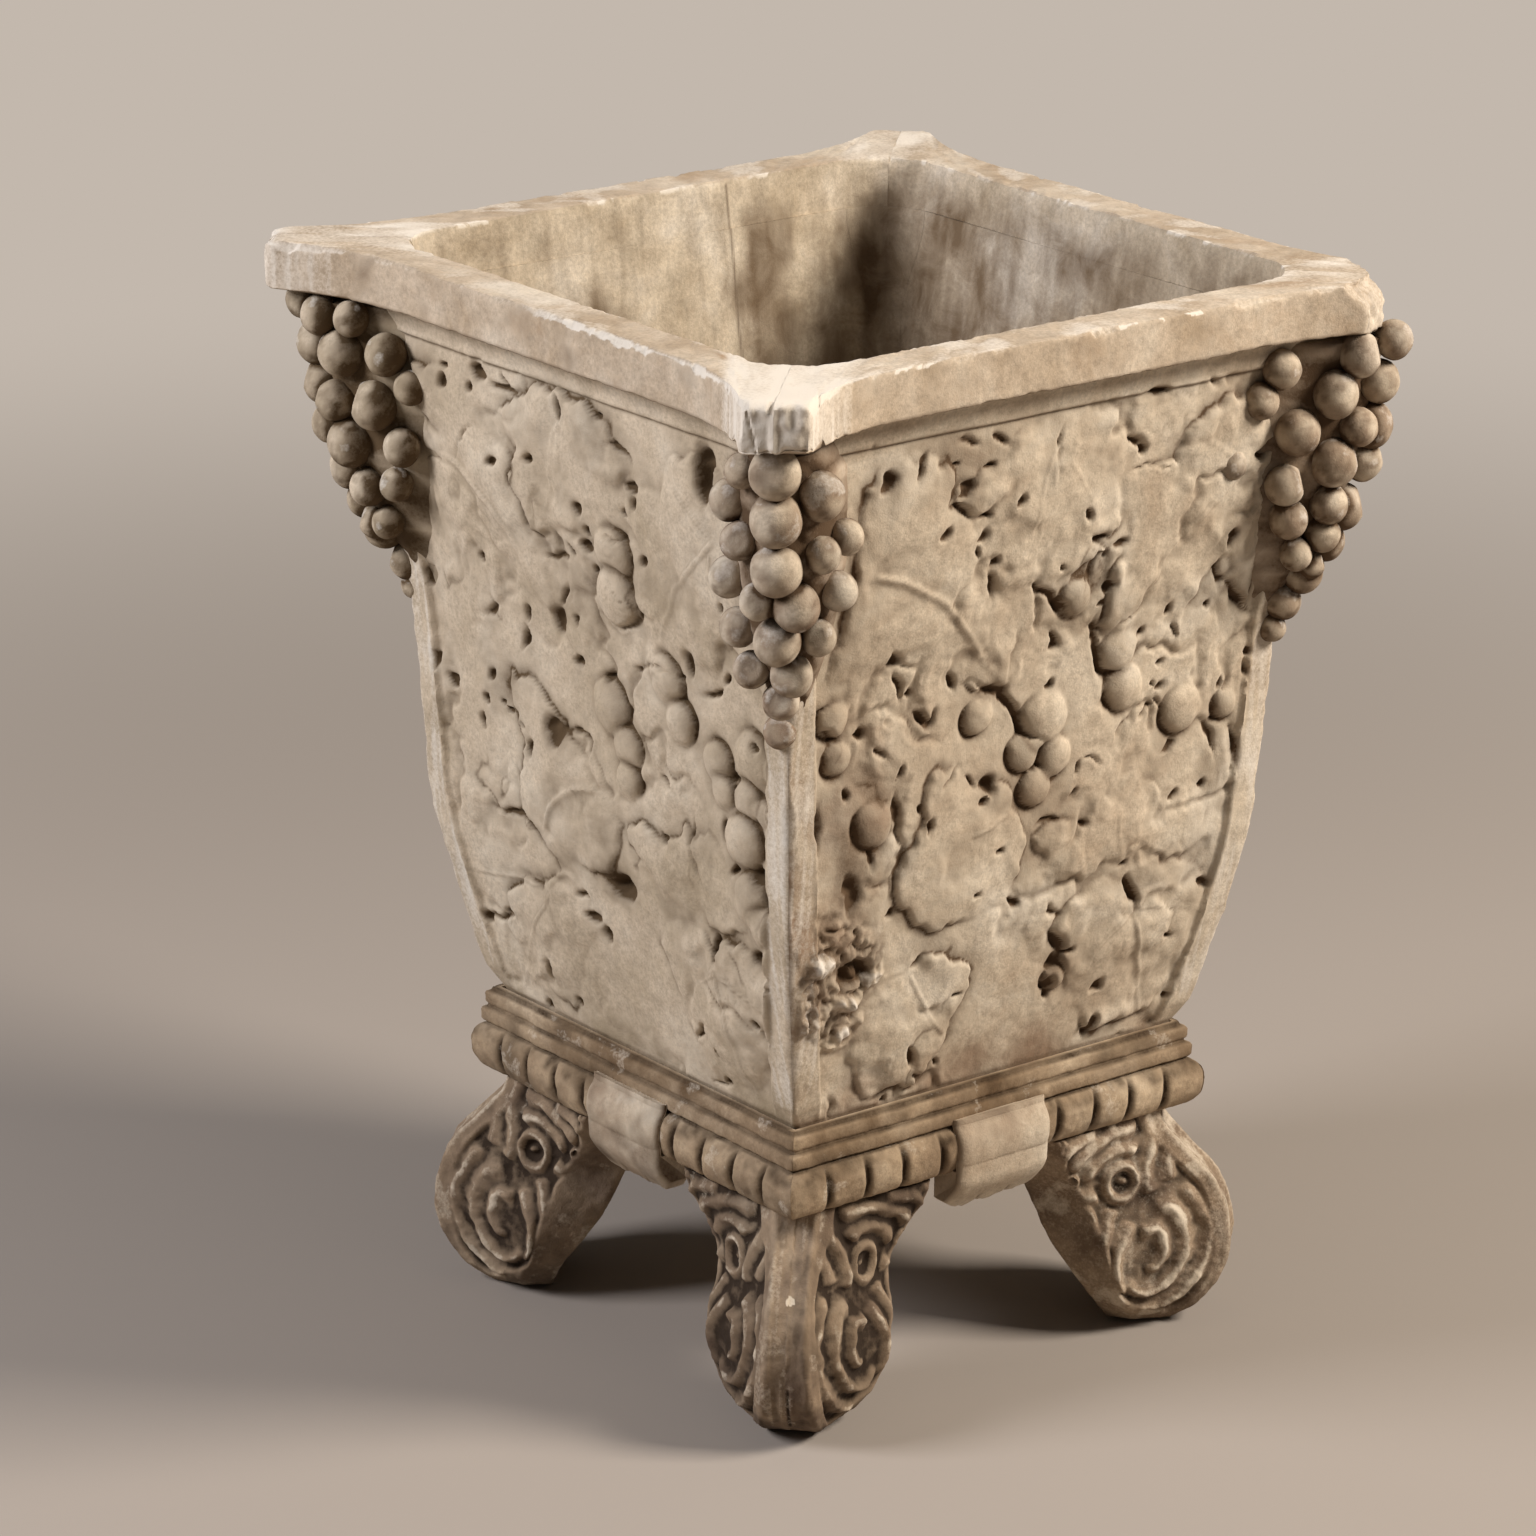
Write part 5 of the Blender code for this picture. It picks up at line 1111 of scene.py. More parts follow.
    # Chips are fainter in the facets' hollows: painted shade there
    chip_and_highlight = chip_and_highlight * (1 - 0.20 * nose * off_mitre * ease(0.08, 0.0, facets))
    dirt_and_shade = (0.12 if turn == 0 else 0.28) * bumps(key, 22, 581 + turn) * outer_face
    # Painted shade under the rim's outer half and along the lowest 2.5 mm of its outer face
    dirt_and_shade = np.maximum(dirt_and_shade, 0.75 * ease(2.5 * MM, 0.4 * MM, z - RIM_Z0) * (way > 0.5))
    chip_and_highlight = np.maximum(chip_and_highlight * (1 - broken), 0.30 * broken)
    dirt_and_shade = np.maximum(dirt_and_shade, broken * (0.30 + 0.4 * rough(key, 8, 585)))
    dirt_and_shade = np.maximum(dirt_and_shade, 0.9 * crack)
    dirt_and_shade = dirt_and_shade * (1 - np.clip(chip_and_highlight, 0, 1) * (dirt_and_shade < 0.7))
    dirt_and_shade = np.maximum(dirt_and_shade, TOP_SOIL[turn] * top_face * (1 - nose) * (0.8 + 0.4 * spread))
    off_orange = np.hypot((away - ORANGE_ALONG) / ORANGE_LONG, (depth / MM - ORANGE_ACROSS) / ORANGE_SHORT)
    orange = ease(1.2, 0.4, off_orange) * top_face * (turn == 3)
    stain = 0.9 * orange + 0.35 * bumps(key, 40, 591 + turn)
    # The inner face is one surface with the wall below it
    damp_and_shade, darkening = inner_marks(u / MM, z / MM, turn)
    marks = {"dirt_and_shade": np.where(kind == INNER, darkening, dirt_and_shade), "chip_and_highlight": chip_and_highlight,
             "stain": np.where(kind == INNER, damp_and_shade, stain * (1 - chip_and_highlight))}
    face_kind = np.concatenate([np.tile(kind[0] == INNER, RIM_COLUMNS - 1), [0, 0]])
    add_piece(f"worn_rim_{side}", f"rim_{side}", "chipped_rim_plaster", at(u, -out, z), turn,
              tube_faces(RIM_COLUMNS, kind.shape[1], flipped=True), [rim_plaster, inner_plaster],
              marks, face_kind, 40)


for turn in range(4):
    rim_piece(turn)


# Base mouldings and their tongues

# Base moulding: half-width of its back, its depth in front of that, and its height
MOULD_BACK, MOULD_DEPTH, MOULD_HEIGHT = 0.1458, 0.0149, 0.0535
# Its section as shares of height and depth: the torus, then the fillet, small cove and bead above it
TORUS_SECTION = (
    (0.0, 0.30), (0.04, 0.62), (0.12, 0.84), (0.21, 0.96), (0.316, 1.0), (0.42, 0.96), (0.51, 0.80),
    (0.56, 0.56),
)
UPPER_SECTION = (
    (0.57, 0.46), (0.59, 0.46), (0.602, 0.60), (0.62, 0.64), (0.72, 0.64), (0.745, 0.60), (0.765, 0.42),
    (0.795, 0.40), (0.815, 0.46), (0.84, 0.49), (0.92, 0.49), (0.945, 0.45), (0.965, 0.30), (1.0, 0.25),
)
# Points along a moulding
MOULD_COLUMNS = 300
# Hollows between gadroons in millimetres: the first from the middle of the side, the step to the next, their
# depth, width and lean, and up to which share of the moulding's height they go
FIRST_GADROON, GADROON_STEP, GADROON_DEPTH, GADROON_WIDTH, GADROON_LEAN = 44.5, 28.5, 3.6, 2.3, 3.0
GADROON_TOP = 0.57
# Tongue: half-width, how far it stands off the torus and hangs below it, and its slits
TONGUE_HALF, TONGUE_PROUD, TONGUE_DROP = 0.035, 0.0052, 0.0255
TONGUE_SLITS = (-0.0105, 0.0115)
SLIT_WIDTH, SLIT_DEPTH = 0.0011, 0.0035
# How far its back lies off the torus's line, inside the moulding
TONGUE_BACK = 0.0004
# How far the hanging part has curled in, as a share of the moulding's depth, by its share of the drop
TONGUE_CURL = ((0.0, 0.05), (0.30, 0.30), (0.62, 0.78), (1.0, 1.40))
TONGUE_COLUMNS = 64


def moulding_piece(turn):
    """Base moulding: its section carried along the side, with a lens-shaped hollow between gadroons.

    A hollow takes away 3.6 mm * exp(-(d / 2.3)^2) of the distance d to its leaning centre line, times the
    square root of a sine over the torus's height."""
    side = SIDES[turn]
    torus_heights = np.linspace(0, 0.56, 34)
    torus = list(zip(torus_heights, smooth_curve(TORUS_SECTION, torus_heights)))
    heights, depths = np.array(torus + list(UPPER_SECTION)).T
    share = np.linspace(-1, 1, MOULD_COLUMNS)[:, None]
    half = MOULD_BACK + MOULD_DEPTH * depths[None, :]
    u = share * half
    z = (SLAB_Z0 + MOULD_HEIGHT * heights)[None, :] + 0 * u
    cut = np.zeros(u.shape)
    lens = np.sqrt(np.clip(np.sin(math.pi * np.clip(heights / GADROON_TOP, 0, 1)), 0, 1))[None, :]
    lean = (heights / GADROON_TOP - 0.5)[None, :] * GADROON_LEAN
    for sign in (-1, 1):
        for number in range(4):
            centre = sign * (FIRST_GADROON + GADROON_STEP * number + 0.6 * math.sin(number * 2.1 + turn))
            cut = np.maximum(cut, hill(u / MM - centre - sign * lean, GADROON_WIDTH) * lens)
    own = at(u / MM, z / MM)
    wear = 0.40 * rough(own, 6, 601 + turn) + 0.8 * rough(own, 30, 605 + turn)
    out = half + (wear - GADROON_DEPTH * cut) * MM
    u = np.clip(u, -(out - JOINT), out - JOINT)
    out = out - 0.0009 * ease(0.0035, 0.0, out - np.abs(u))
    u = np.clip(u, -(out - JOINT), out - JOINT)
    back = at(share * (MOULD_BACK - JOINT), -MOULD_BACK, [[SLAB_Z0 + MOULD_HEIGHT, SLAB_Z0]])
    rings = np.concatenate([at(u, -out, z), back], axis=1)
    # The gadroon hollows and the section's grooves are painted dark: dirt and painted shade
    groove = np.select([(heights > 0.545) & (heights < 0.60), (heights > 0.755) & (heights < 0.815),
                        heights > 0.955], [0.8, 0.7, 0.8], 0.0)
    dirt_and_shade = np.maximum(1.1 * cut, groove[None, :] * (0.75 + 0.25 * noise(own, 12, 611 + turn)))
    dirt_and_shade = np.maximum(dirt_and_shade, 0.35 * np.clip(rough(own, 24, 615 + turn) + 0.2, 0, None))
    ledge = (ease(0.34, 0.50, heights) * ease(0.62, 0.58, heights))[None, :]
    dirt_and_shade = np.maximum(dirt_and_shade, ledge * (0.30 + 0.40 * rough(own, 10, 617 + turn)))
    stain = 0.25 + 0.4 * rough(own, 38, 621 + turn) + 0.25 * (heights > 0.6)[None, :]
    chip_and_highlight = 0.30 * ease(0.2, 0.9, rough(own, 14, 625 + turn))
    marks = {mark: np.pad(values, ((0, 0), (0, 2)))
             for mark, values in (("dirt_and_shade", dirt_and_shade), ("stain", stain), ("chip_and_highlight", chip_and_highlight))}
    add_piece(f"gadrooned_moulding_{side}", f"base_moulding_{side}", "aged_cast_plaster", rings, turn,
              tube_faces(MOULD_COLUMNS, rings.shape[1]), [moulding_plaster], marks, None, 45)


def tongue_piece(turn):
    """Hanging tongue: the torus's line moved outwards, eased back at both side edges, curling in below
    the torus to a ragged lower edge, with two slits up from it and solid behind."""
    side = SIDES[turn]
    drop = np.linspace(0, 1, 26)
    inward = smooth_curve(TONGUE_CURL, drop)
    curl = at(MOULD_BACK + MOULD_DEPTH - MOULD_DEPTH * inward, SLAB_Z0 - TONGUE_DROP * drop)
    seat_heights = np.linspace(0.10, 0.60, 26)
    seat = at(MOULD_BACK + MOULD_DEPTH * smooth_curve(TORUS_SECTION + ((0.60, 0.60),), seat_heights),
              SLAB_Z0 + MOULD_HEIGHT * seat_heights)
    top = np.array([[MOULD_BACK + MOULD_DEPTH * 0.62, SLAB_Z0 + MOULD_HEIGHT * 0.63],
                    [MOULD_BACK + MOULD_DEPTH * 0.60, SLAB_Z0 + MOULD_HEIGHT * 0.66]])
    line = np.concatenate([curl[::-1], seat, top])
    line[3:-3] = sum(line[3 + step:len(line) - 3 + step] for step in range(-3, 4)) / 7
    tangent = np.gradient(line, axis=0)
    tangent /= np.hypot(tangent[:, 0], tangent[:, 1])[:, None]
    u = np.linspace(-TONGUE_HALF, TONGUE_HALF, TONGUE_COLUMNS)[:, None]
    edge = TONGUE_HALF - np.abs(u)
    proud = TONGUE_PROUD * (0.18 + 0.82 * np.sqrt(np.clip(1 - (1 - np.clip(edge / 0.009, 0, 1)) ** 2, 0, 1)))
    gone = np.concatenate([[0], np.cumsum(np.hypot(*np.diff(line, axis=0).T))])[None, :]
    slit = np.zeros((TONGUE_COLUMNS, len(line)))
    for place in TONGUE_SLITS:
        slit = np.maximum(slit, hill(u - place, SLIT_WIDTH) * ease(0.017, 0.011, gone))
    own = at(u / MM, gone / MM)
    rise = proud + 0 * gone - SLIT_DEPTH * slit + 0.00018 * rough(own, 8, 631 + turn)
    hanging = gone < gone[:, [len(curl) - 1]] + 1e-9
    line_half, line_z = line[None, :, 0], line[None, :, 1]
    off_half, off_z = tangent[None, :, 1], -tangent[None, :, 0]
    front_half, front_z = line_half + off_half * rise, line_z + off_z * rise
    back_half = np.where(hanging, curl[-1, 0] - TONGUE_BACK, line_half + off_half * TONGUE_BACK) + 0 * u
    back_z = np.where(hanging, line_z, line_z + off_z * TONGUE_BACK) + 0 * u
    ragged = 0.0024 * np.clip(rough(at(u / MM, 0 * u), 9, 651 + turn), -1, 1)
    ragged = ragged + 0.0070 * np.clip(1 - edge / 0.0100, 0, 1) ** 2
    half = np.concatenate([front_half, back_half[:, ::-1]], axis=1)
    z = np.maximum(np.concatenate([front_z, back_z[:, ::-1]], axis=1), curl[-1, 1] + 0.0016 + ragged)
    # Darker in the slits and along the side edges: dirt and painted shade
    dirt_and_shade = np.maximum(slit, 0.30 * bumps(own, 20, 641 + turn))
    dirt_and_shade = np.maximum(dirt_and_shade, 0.5 * ease(0.0016, 0.0, edge))
    dirt_and_shade = dirt_and_shade + (0.20 if turn == 3 else 0.04) * (1 + rough(own, 14, 647))
    stain = 0.12 + 0.30 * rough(own, 30, 645 + turn)
    zero = np.zeros(dirt_and_shade.shape)
    marks = {mark: np.concatenate([values, zero], axis=1)
             for mark, values in (("dirt_and_shade", dirt_and_shade), ("stain", stain), ("chip_and_highlight", zero))}
    add_piece(f"hanging_tongue_{side}", f"moulding_tongue_{side}", "aged_cast_plaster", at(u, -half, z), turn,
              tube_faces(TONGUE_COLUMNS, half.shape[1]), [front_plaster], marks, None, 50)


for turn in range(4):
    moulding_piece(turn)
    tongue_piece(turn)


# Grape bunches

# Grapes of the photographed bunch in millimetres: place across, level, radius
BUNCH = (
    (2, 615, 14), (22, 611, 9.5), (2, 587, 14), (31, 589, 11.2), (-21, 598, 12.9), (24, 569, 10.5),
    (-22, 564, 9.8), (-33, 569, 9.5), (2, 557, 14), (33, 541, 11), (13, 537, 10), (-8, 535, 12.9),
    (-29, 538, 10.5), (3, 512, 12.9), (27, 513, 10.5), (-19, 513, 9.5), (-4, 490, 11.5), (20, 488, 10),
    (3, 471, 10.3), (5, 449, 9),
)
# Grapes of the other three: down the ridge, then on both flanks
SIDE_BUNCH = (
    (0, 620, 10), (0, 595, 12), (1, 570, 12), (-1, 546, 11), (3, 520, 13), (1, 499, 10.5), (3, 480, 11.5),
    (3, 460, 10.5), (4, 444, 8), (21, 617, 11.5), (26, 593, 12.4), (36, 571, 12.4), (17, 573, 10.5),
    (20, 550, 13), (36, 541, 11), (18, 524, 10.5), (30, 518, 10.5), (13, 505, 10), (22, 495, 9),
    (11, 486, 8), (44, 592, 10), (40, 612, 10.5), (47, 556, 9.5), (-18, 617, 10.5), (-21, 595, 13),
    (-37, 599, 11.5), (-17, 565, 11), (-33, 567, 13), (-19, 538, 13), (-37, 541, 10.5), (-20, 511, 10.7),
    (-32, 518, 9.5), (-10, 489, 9), (-21, 492, 9), (-44, 580, 9.5), (-33, 617, 10),
)
# Core of a bunch: height, half-width as a share of the bunch's
BUNCH_CORE = (
    (0.624, 0.60), (0.605, 0.78), (0.570, 0.82), (0.530, 0.72), (0.495, 0.52), (0.465, 0.30), (0.440, 0.12),
)
# Top, height and half-width of a bunch, and how fast it falls off to both sides of its ridge
BUNCH_TOP, BUNCH_HEIGHT, BUNCH_HALF, BUNCH_ROUND = 0.6160, 0.146, 0.040, 34.0
# How far its ridge stands off the body corner at the top, and how much of that is lost lower down
BUNCH_RIDGE, BUNCH_FALL = 0.036, 0.0224
# How deep its core lies under the ridge, from which height down to which, and its rows and columns
CORE_DEPTH, CORE_Z1, CORE_Z0 = 0.0160, 0.624, 0.440
CORE_ROWS, CORE_COLUMNS = 60, 61


def bunch_reach(z):
    """Distance of the bunch's ridge from the axis: the body corner's, and 36 mm less 22.4 mm * down^3."""
    down = np.clip((BUNCH_TOP - z) / BUNCH_HEIGHT, 0, 1.12)
    return (body_half(z) + band_rise(z)) / DIAGONAL + BUNCH_RIDGE - BUNCH_FALL * down ** 3


def at_corner(out, across, z):
    """Points by their reach along the front-left diagonal and their place across it."""
    return at(-(out + across) * DIAGONAL, -(out - across) * DIAGONAL, z)


def bunch_piece(turn):
    """Bunch of grapes: dented spheres, a little taller than wide, bedded in a lumpy core whose reach falls
    off from the ridge by 34 * across^2.

    A grape is painted dark, as shade, where another grape or the core comes close to its skin."""
    name = CORNERS[turn]
    seen = turn == 0
    rings, columns = 20, 32
    polar = np.linspace(0, math.pi, rings)[:, None]
    round_angle = np.linspace(0, 2 * math.pi, columns, endpoint=False)[None, :]
    ball = at(np.sin(polar) * np.cos(round_angle), np.sin(polar) * np.sin(round_angle), np.cos(polar))
    random = np.random.default_rng(700 + turn)
    centres, radii = [], []
    for across, level, size in (BUNCH if seen else SIDE_BUNCH):
        shift = (random.random(3) - 0.5) * (0 if seen else 3)
        across, z, radius = (across + shift[0]) * MM, (level + shift[1]) * MM, (size + 0.2 * shift[2]) * MM
        out = float(bunch_reach(np.array(z))) - radius - BUNCH_ROUND * across ** 2
        centres.append(at_corner(out, across, z))
        radii.append(radius * (1.04 if seen else 1.10))
    centres, radii = np.array(centres), np.array(radii)
    outermost = np.array([-DIAGONAL, -DIAGONAL, 0.0])
    points, faces, dirt_and_shade, stain, chip_and_highlight = [], [], [], [], []
    for number, (centre, radius) in enumerate(zip(centres, radii)):
        stretch = np.array([1.0, 1.0, 1.02 + 0.08 * random.random()])
        dent = rough(ball * 10 + 30 * number, 7.0, 711 + turn, 2)
        skin = ball * stretch * (1 + 0.030 * dent[..., None])
        # Some grapes are worn flat on their outer side
        facing = skin @ (outermost * 0.95 + np.array([0, 0, 0.25]))
        worn_at = 0.72 if seen and number > 15 else (0.80, 1.2, 1.2, 0.93, 1.2)[(number * 7 + 2 * turn) % 5]
        skin = skin - np.clip(facing - worn_at, 0, None)[..., None] * outermost
        skin = skin * radius + centre
        away = np.linalg.norm(skin[:, :, None, :] - centres[None, None], axis=-1) - radii[None, None] * 1.02
        away[:, :, number] = 1.0
        outward = (skin - centre) @ outermost / radius
        # Painted shade where another grape comes close and on the grape's inner side, less on the second
        # bunch
        darkening = ease(0.0056, -0.0003, away.min(axis=-1)) * (0.80 if turn == 1 else 0.92)
        darkening = darkening + (0.22 if turn == 1 else 0.60) * ease(0.35, -0.35, outward)
        darkening = darkening + 0.30 * ease(0.0, 0.6, rough(ball * 10 + 50 * number, 5.0, 741 + turn, 3))
        # Painted shade on the grape's lower side
        darkening = darkening + 0.26 * ease(-0.1, -0.9, ball[..., 2])
        dirt_and_shade.append((darkening + 0.22 * dent + 0.10).ravel())
        stain.append((0.25 + 0.35 * dent + 0.4 * (random.random() - 0.4)).ravel())
        # Paler where the skin bulges, faces out and up: worn plaster and painted highlight
        chip_and_highlight.append((0.42 * ease(0.0, 0.8, dent + 0.5 * outward + 0.4 * ball[..., 2] - 0.45)).ravel())
        points.append(skin.reshape(-1, 3))
        faces.append(grid_faces(rings, columns, number * rings * columns, closed=True)[:, ::-1])
    middle = CORE_COLUMNS // 2
    levels = np.linspace(CORE_Z1, CORE_Z0, CORE_ROWS)[:, None]
    share = smooth_curve(BUNCH_CORE[::-1], levels) * (0.86 if seen else 1.12)
    line = np.linspace(-1.35, 1.35, CORE_COLUMNS)[None, :]
    across = line * share * BUNCH_HALF
    lumps = rough(at(across / MM, levels / MM), 9.0, 731 + turn, 3)
    out = bunch_reach(levels) - BUNCH_ROUND * across ** 2 - CORE_DEPTH + 0.0026 * lumps
    under = (body_half(levels) - 0.001) / DIAGONAL - np.abs(across) - 0.0015
    out = np.maximum(out - 0.19 * np.clip(np.abs(line) - 0.80, 0, None) ** 2, under)
    rear = np.concatenate([under[:, [-1]] - 0.002, under[:, [middle]] - 0.010, under[:, [0]] - 0.002], axis=1)
    core = at_corner(np.concatenate([out, rear], axis=1),
                     np.concatenate([across, across[:, [-1, middle, 0]]], axis=1), levels)
    points.append(core.reshape(-1, 3))
    core_start = len(radii) * rings * columns
    sides, first, last = tube_faces(CORE_ROWS, core.shape[1], flipped=True, start=core_start)
    faces.append(sides)
    # The core behind the grapes is painted dark as shade, less on its flanks and lumps; its back points take
    # a middle value
    shade = 0.86 - 0.35 * lumps - 0.55 * ease(0.75, 1.1, np.abs(line))
    shade = np.concatenate([shade, np.full((CORE_ROWS, 3), 0.6)], axis=1).ravel()
    marks = {"dirt_and_shade": np.concatenate(dirt_and_shade + [shade]), "stain": np.concatenate(stain + [0.5 + 0 * shade]),
             "chip_and_highlight": np.concatenate(chip_and_highlight + [0 * shade])}
    add_piece(f"grape_bunch_{name}", f"grape_cluster_{name}", "aged_cast_plaster", np.concatenate(points),
              turn, [np.concatenate(faces), first, last], [front_plaster if turn < 2 else left_plaster],
              marks, None, 80, merge=True)


for turn in range(4):
    bunch_piece(turn)


# Scroll feet

# Rings up a foot and points round one
FOOT_RINGS, FOOT_RING = 190, 316
# Plan of a foot by its height, as shares of its height, reach and half-width: height, nose reach,
# band half-width, cheek reach and half-width, heel reach and half-width
FOOT_ROWS = (
    (0.00, 0.841, 0.235, 0.772, 0.285, 0.707, 0.255), (0.03, 0.880, 0.250, 0.769, 0.430, 0.697, 0.360),
    (0.10, 0.935, 0.255, 0.764, 0.615, 0.681, 0.490), (0.24, 0.986, 0.215, 0.740, 0.785, 0.634, 0.660),
    (0.44, 1.000, 0.175, 0.715, 0.850, 0.557, 0.700), (0.66, 0.961, 0.165, 0.660, 0.778, 0.502, 0.680),
    (0.80, 0.890, 0.165, 0.618, 0.925, 0.467, 0.780), (0.92, 0.831, 0.175, 0.608, 1.070, 0.447, 0.890),
    (1.00, 0.811, 0.185, 0.596, 1.130, 0.427, 0.950),
)
# Shares of a ring's points from the middle of the nose to the middle of the heel: up to the band's edge, the
# bow behind it, the cheek, the heel's corner and the middle
FOOT_SPREAD = (0.15, 0.24, 0.24, 0.25, 0.12)
# Scroll and leaf work on a foot's splayed side, as folds: half-width at its start and end, rise, and
# places as (reach from the axis, height) in millimetres
FOLDS = (
    (4.6, 3.6, 4.4, ((216, 92), (230, 76), (235, 54), (229, 34), (214, 19), (199, 13), (186, 21))),
    (5.4, 3.4, 5.0, ((200, 80), (213, 77), (221, 62), (219, 44), (208, 29), (194, 28), (189, 38))),
    (4.6, 2.8, 4.8, ((194, 66), (204, 67), (209, 56), (205, 44), (197, 42))),
    (4.6, 3.2, 4.4, ((188, 76), (183, 60), (181, 44), (186, 27))),
    (4.6, 3.2, 4.2, ((200, 88), (196, 100), (199, 116), (196, 132))),
    (4.2, 3.2, 4.2, ((209, 94), (209, 108), (207, 122), (205, 135))),
    (4.6, 3.4, 4.4, ((177, 84), (173, 70), (171, 54), (174, 40))),
    (4.2, 3.0, 4.0, ((165, 66), (163, 54), (165, 42))),
    (4.6, 3.4, 4.4, ((190, 115), (180, 119), (168, 113), (161, 101))),
    (4.8, 3.4, 4.4, ((190, 130), (175, 130), (160, 121), (149, 109))),
    (4.2, 3.2, 4.0, ((168, 93), (160, 91), (152, 93), (145, 88))),
    (4.2, 3.2, 4.0, ((148, 82), (143, 77), (138, 72))),
    (4.2, 3.2, 4.0, ((151, 66), (145, 60), (139, 57))),
    (4.4, 3.2, 4.4, ((168, 135), (152, 127), (140, 115))),
    (4.4, 3.2, 4.4, ((150, 135), (138, 128), (127, 115))),
)
# Eyes of the scrolls: place, half-length and half-height in millimetres
EYES = ((182, 98, 9.0, 11.0), (158, 77, 7.6, 8.6), (151, 103, 4.4, 4.8))
# How deep the ground of this carving is sunk, in millimetres
GROUND_SUNK = 3.8
# The carving ends this far behind the nose, and at a line by the heel: the line's reach at a level in
# millimetres, and how much it draws in for each one up
NOSE_MARGIN = 0.0080
HEEL_REACH, HEEL_LEVEL, HEEL_DRAW_IN = 171.5, 34, 1.40
# Crack up the first foot's nose band: place across, half-width, and the levels where it starts and ends
FOOT_CRACK_PLACE, FOOT_CRACK_WIDTH = -0.0015, 0.0007
FOOT_CRACK_START, FOOT_CRACK_END = (0.010, 0.016), (0.044, 0.038)
# Flake off the same band: place across, level, half-width and half-height
FLAKE_PLACE, FLAKE_LEVEL, FLAKE_HALF_WIDTH, FLAKE_HALF_HEIGHT = -0.001, 0.094, 0.0024, 0.0026
# More or less soil on each foot, in the order of CORNERS; the second foot's negative value paints light on
# it, lightening it and its wear
FOOT_SOIL_AND_LIGHT = (0.10, -0.30, 0.0, 0.0)


def foot_carving(reach, z):
    """Carving of a foot's splayed side in millimetres by the reach from the axis and the height.

    The ground is sunk 3.8 mm. A fold stands on it as a crest with gouged flanks: mostly a power of
    1 - d / (2.2 w) of the distance d to its line, with a little of the rounded 1 - (d / w)^2, its half-width
    w tapering along the line. An eye is a ring round a hollow with a knob. Gives the carving, how hollow
    each place is and how much of a crest."""
    own = at(reach, z)
    bent_reach = reach + 1.1 * rough(own, 11.0, 851, 3)
    bent_z = z + 1.1 * rough(own, 11.0, 861, 3)
    top = np.zeros(reach.shape)
    for first, last, rise, places in FOLDS:
        part = near(reach, z, places, 11)
        distance, along = line_distance(bent_reach[part], bent_z[part], curved(places))
        half = first + (last - first) * along
        gouged = np.clip(1 - distance / (2.2 * half), 0, None) ** 1.7
        fold = 0.72 * gouged + 0.28 * np.clip(1 - (distance / half) ** 2, 0, None)
        fold = fold * (1 + 0.30 * noise(own[part], 15.0, 881))
        fold = fold * ease(0.0, 0.08, along) * ease(1.02, 0.85, along)
        top[part] = np.maximum(top[part], rise * fold)
    for eye_reach, eye_z, half_reach, half_z in EYES:
        part = near(reach, z, ((eye_reach, eye_z),), half_z + 8)
        du, dz = bent_reach[part] - eye_reach, bent_z[part] - eye_z
        number = np.hypot(du / half_reach, dz / half_z)
        ring = np.clip(1 - np.abs(number - 0.92) / 0.42, 0, None) ** 1.3
        off_centre = np.hypot((du - 0.15 * half_reach) / half_reach, (dz - 0.1 * half_z) / half_z)
        knob = np.clip(1 - (off_centre / 0.28) ** 2, 0, None)
        top[part] = np.where(number < 0.92, 0.0, top[part])
        top[part] = np.maximum(top[part], np.maximum(4.8 * ring, 2.6 * knob)) - 1.6 * ease(0.75, 0.35, number)
    top = top + 0.55 * rough(own, 4.5, 871, 2) * ease(0.2, 2.0, top)
    pitted = 0.9 * np.abs(rough(own, 6.0, 875, 2))
    carving = top - GROUND_SUNK - pitted * ease(1.4, 0.2, top)
    return carving, ease(1.7, 0.1, top), ease(2.2, 4.2, top)


def foot_plan(height):
    """Smooth plan outlines of a foot at shares of its height: the reach and width of each ring's points, the
    nose's reach and the band's half-width."""
    table = [[(row[0], row[column]) for row in FOOT_ROWS] for column in range(1, 7)]
    nose, band, cheek, cheek_width, heel, heel_width = [smooth_curve(pairs, height) for pairs in table]
    bow_reach = nose + (cheek - nose) * 0.45
    bow_width = band + (cheek_width - band) * 0.46
    zero = 0 * nose
    corners_reach = at(nose, nose, bow_reach, cheek, heel, heel) * FOOT_REACH
    corners_width = at(zero, band, bow_width, cheek_width, heel_width, zero) * FOOT_HALF_WIDTH
    spread = np.concatenate([[0.0], np.cumsum(FOOT_SPREAD)])
    half_way = np.linspace(0, 1, FOOT_RING // 2 + 1)
    half_reach = np.stack([np.interp(half_way, spread, line) for line in corners_reach])
    half_width = np.stack([np.interp(half_way, spread, line) for line in corners_width])
    reach = np.concatenate([half_reach, half_reach[:, -2:0:-1]], axis=1)
    width = np.concatenate([half_width, -half_width[:, -2:0:-1]], axis=1)
    steps = np.arange(-7, 8)
    weights = np.exp(-0.5 * (steps / 2.6) ** 2)
    weights /= weights.sum()
    reach, width = [sum(w * np.roll(values, s, axis=1) for w, s in zip(weights, steps))
                    for values in (reach, width)]
    return reach, width, nose[:, None] * FOOT_REACH, (band * FOOT_HALF_WIDTH)[:, None]


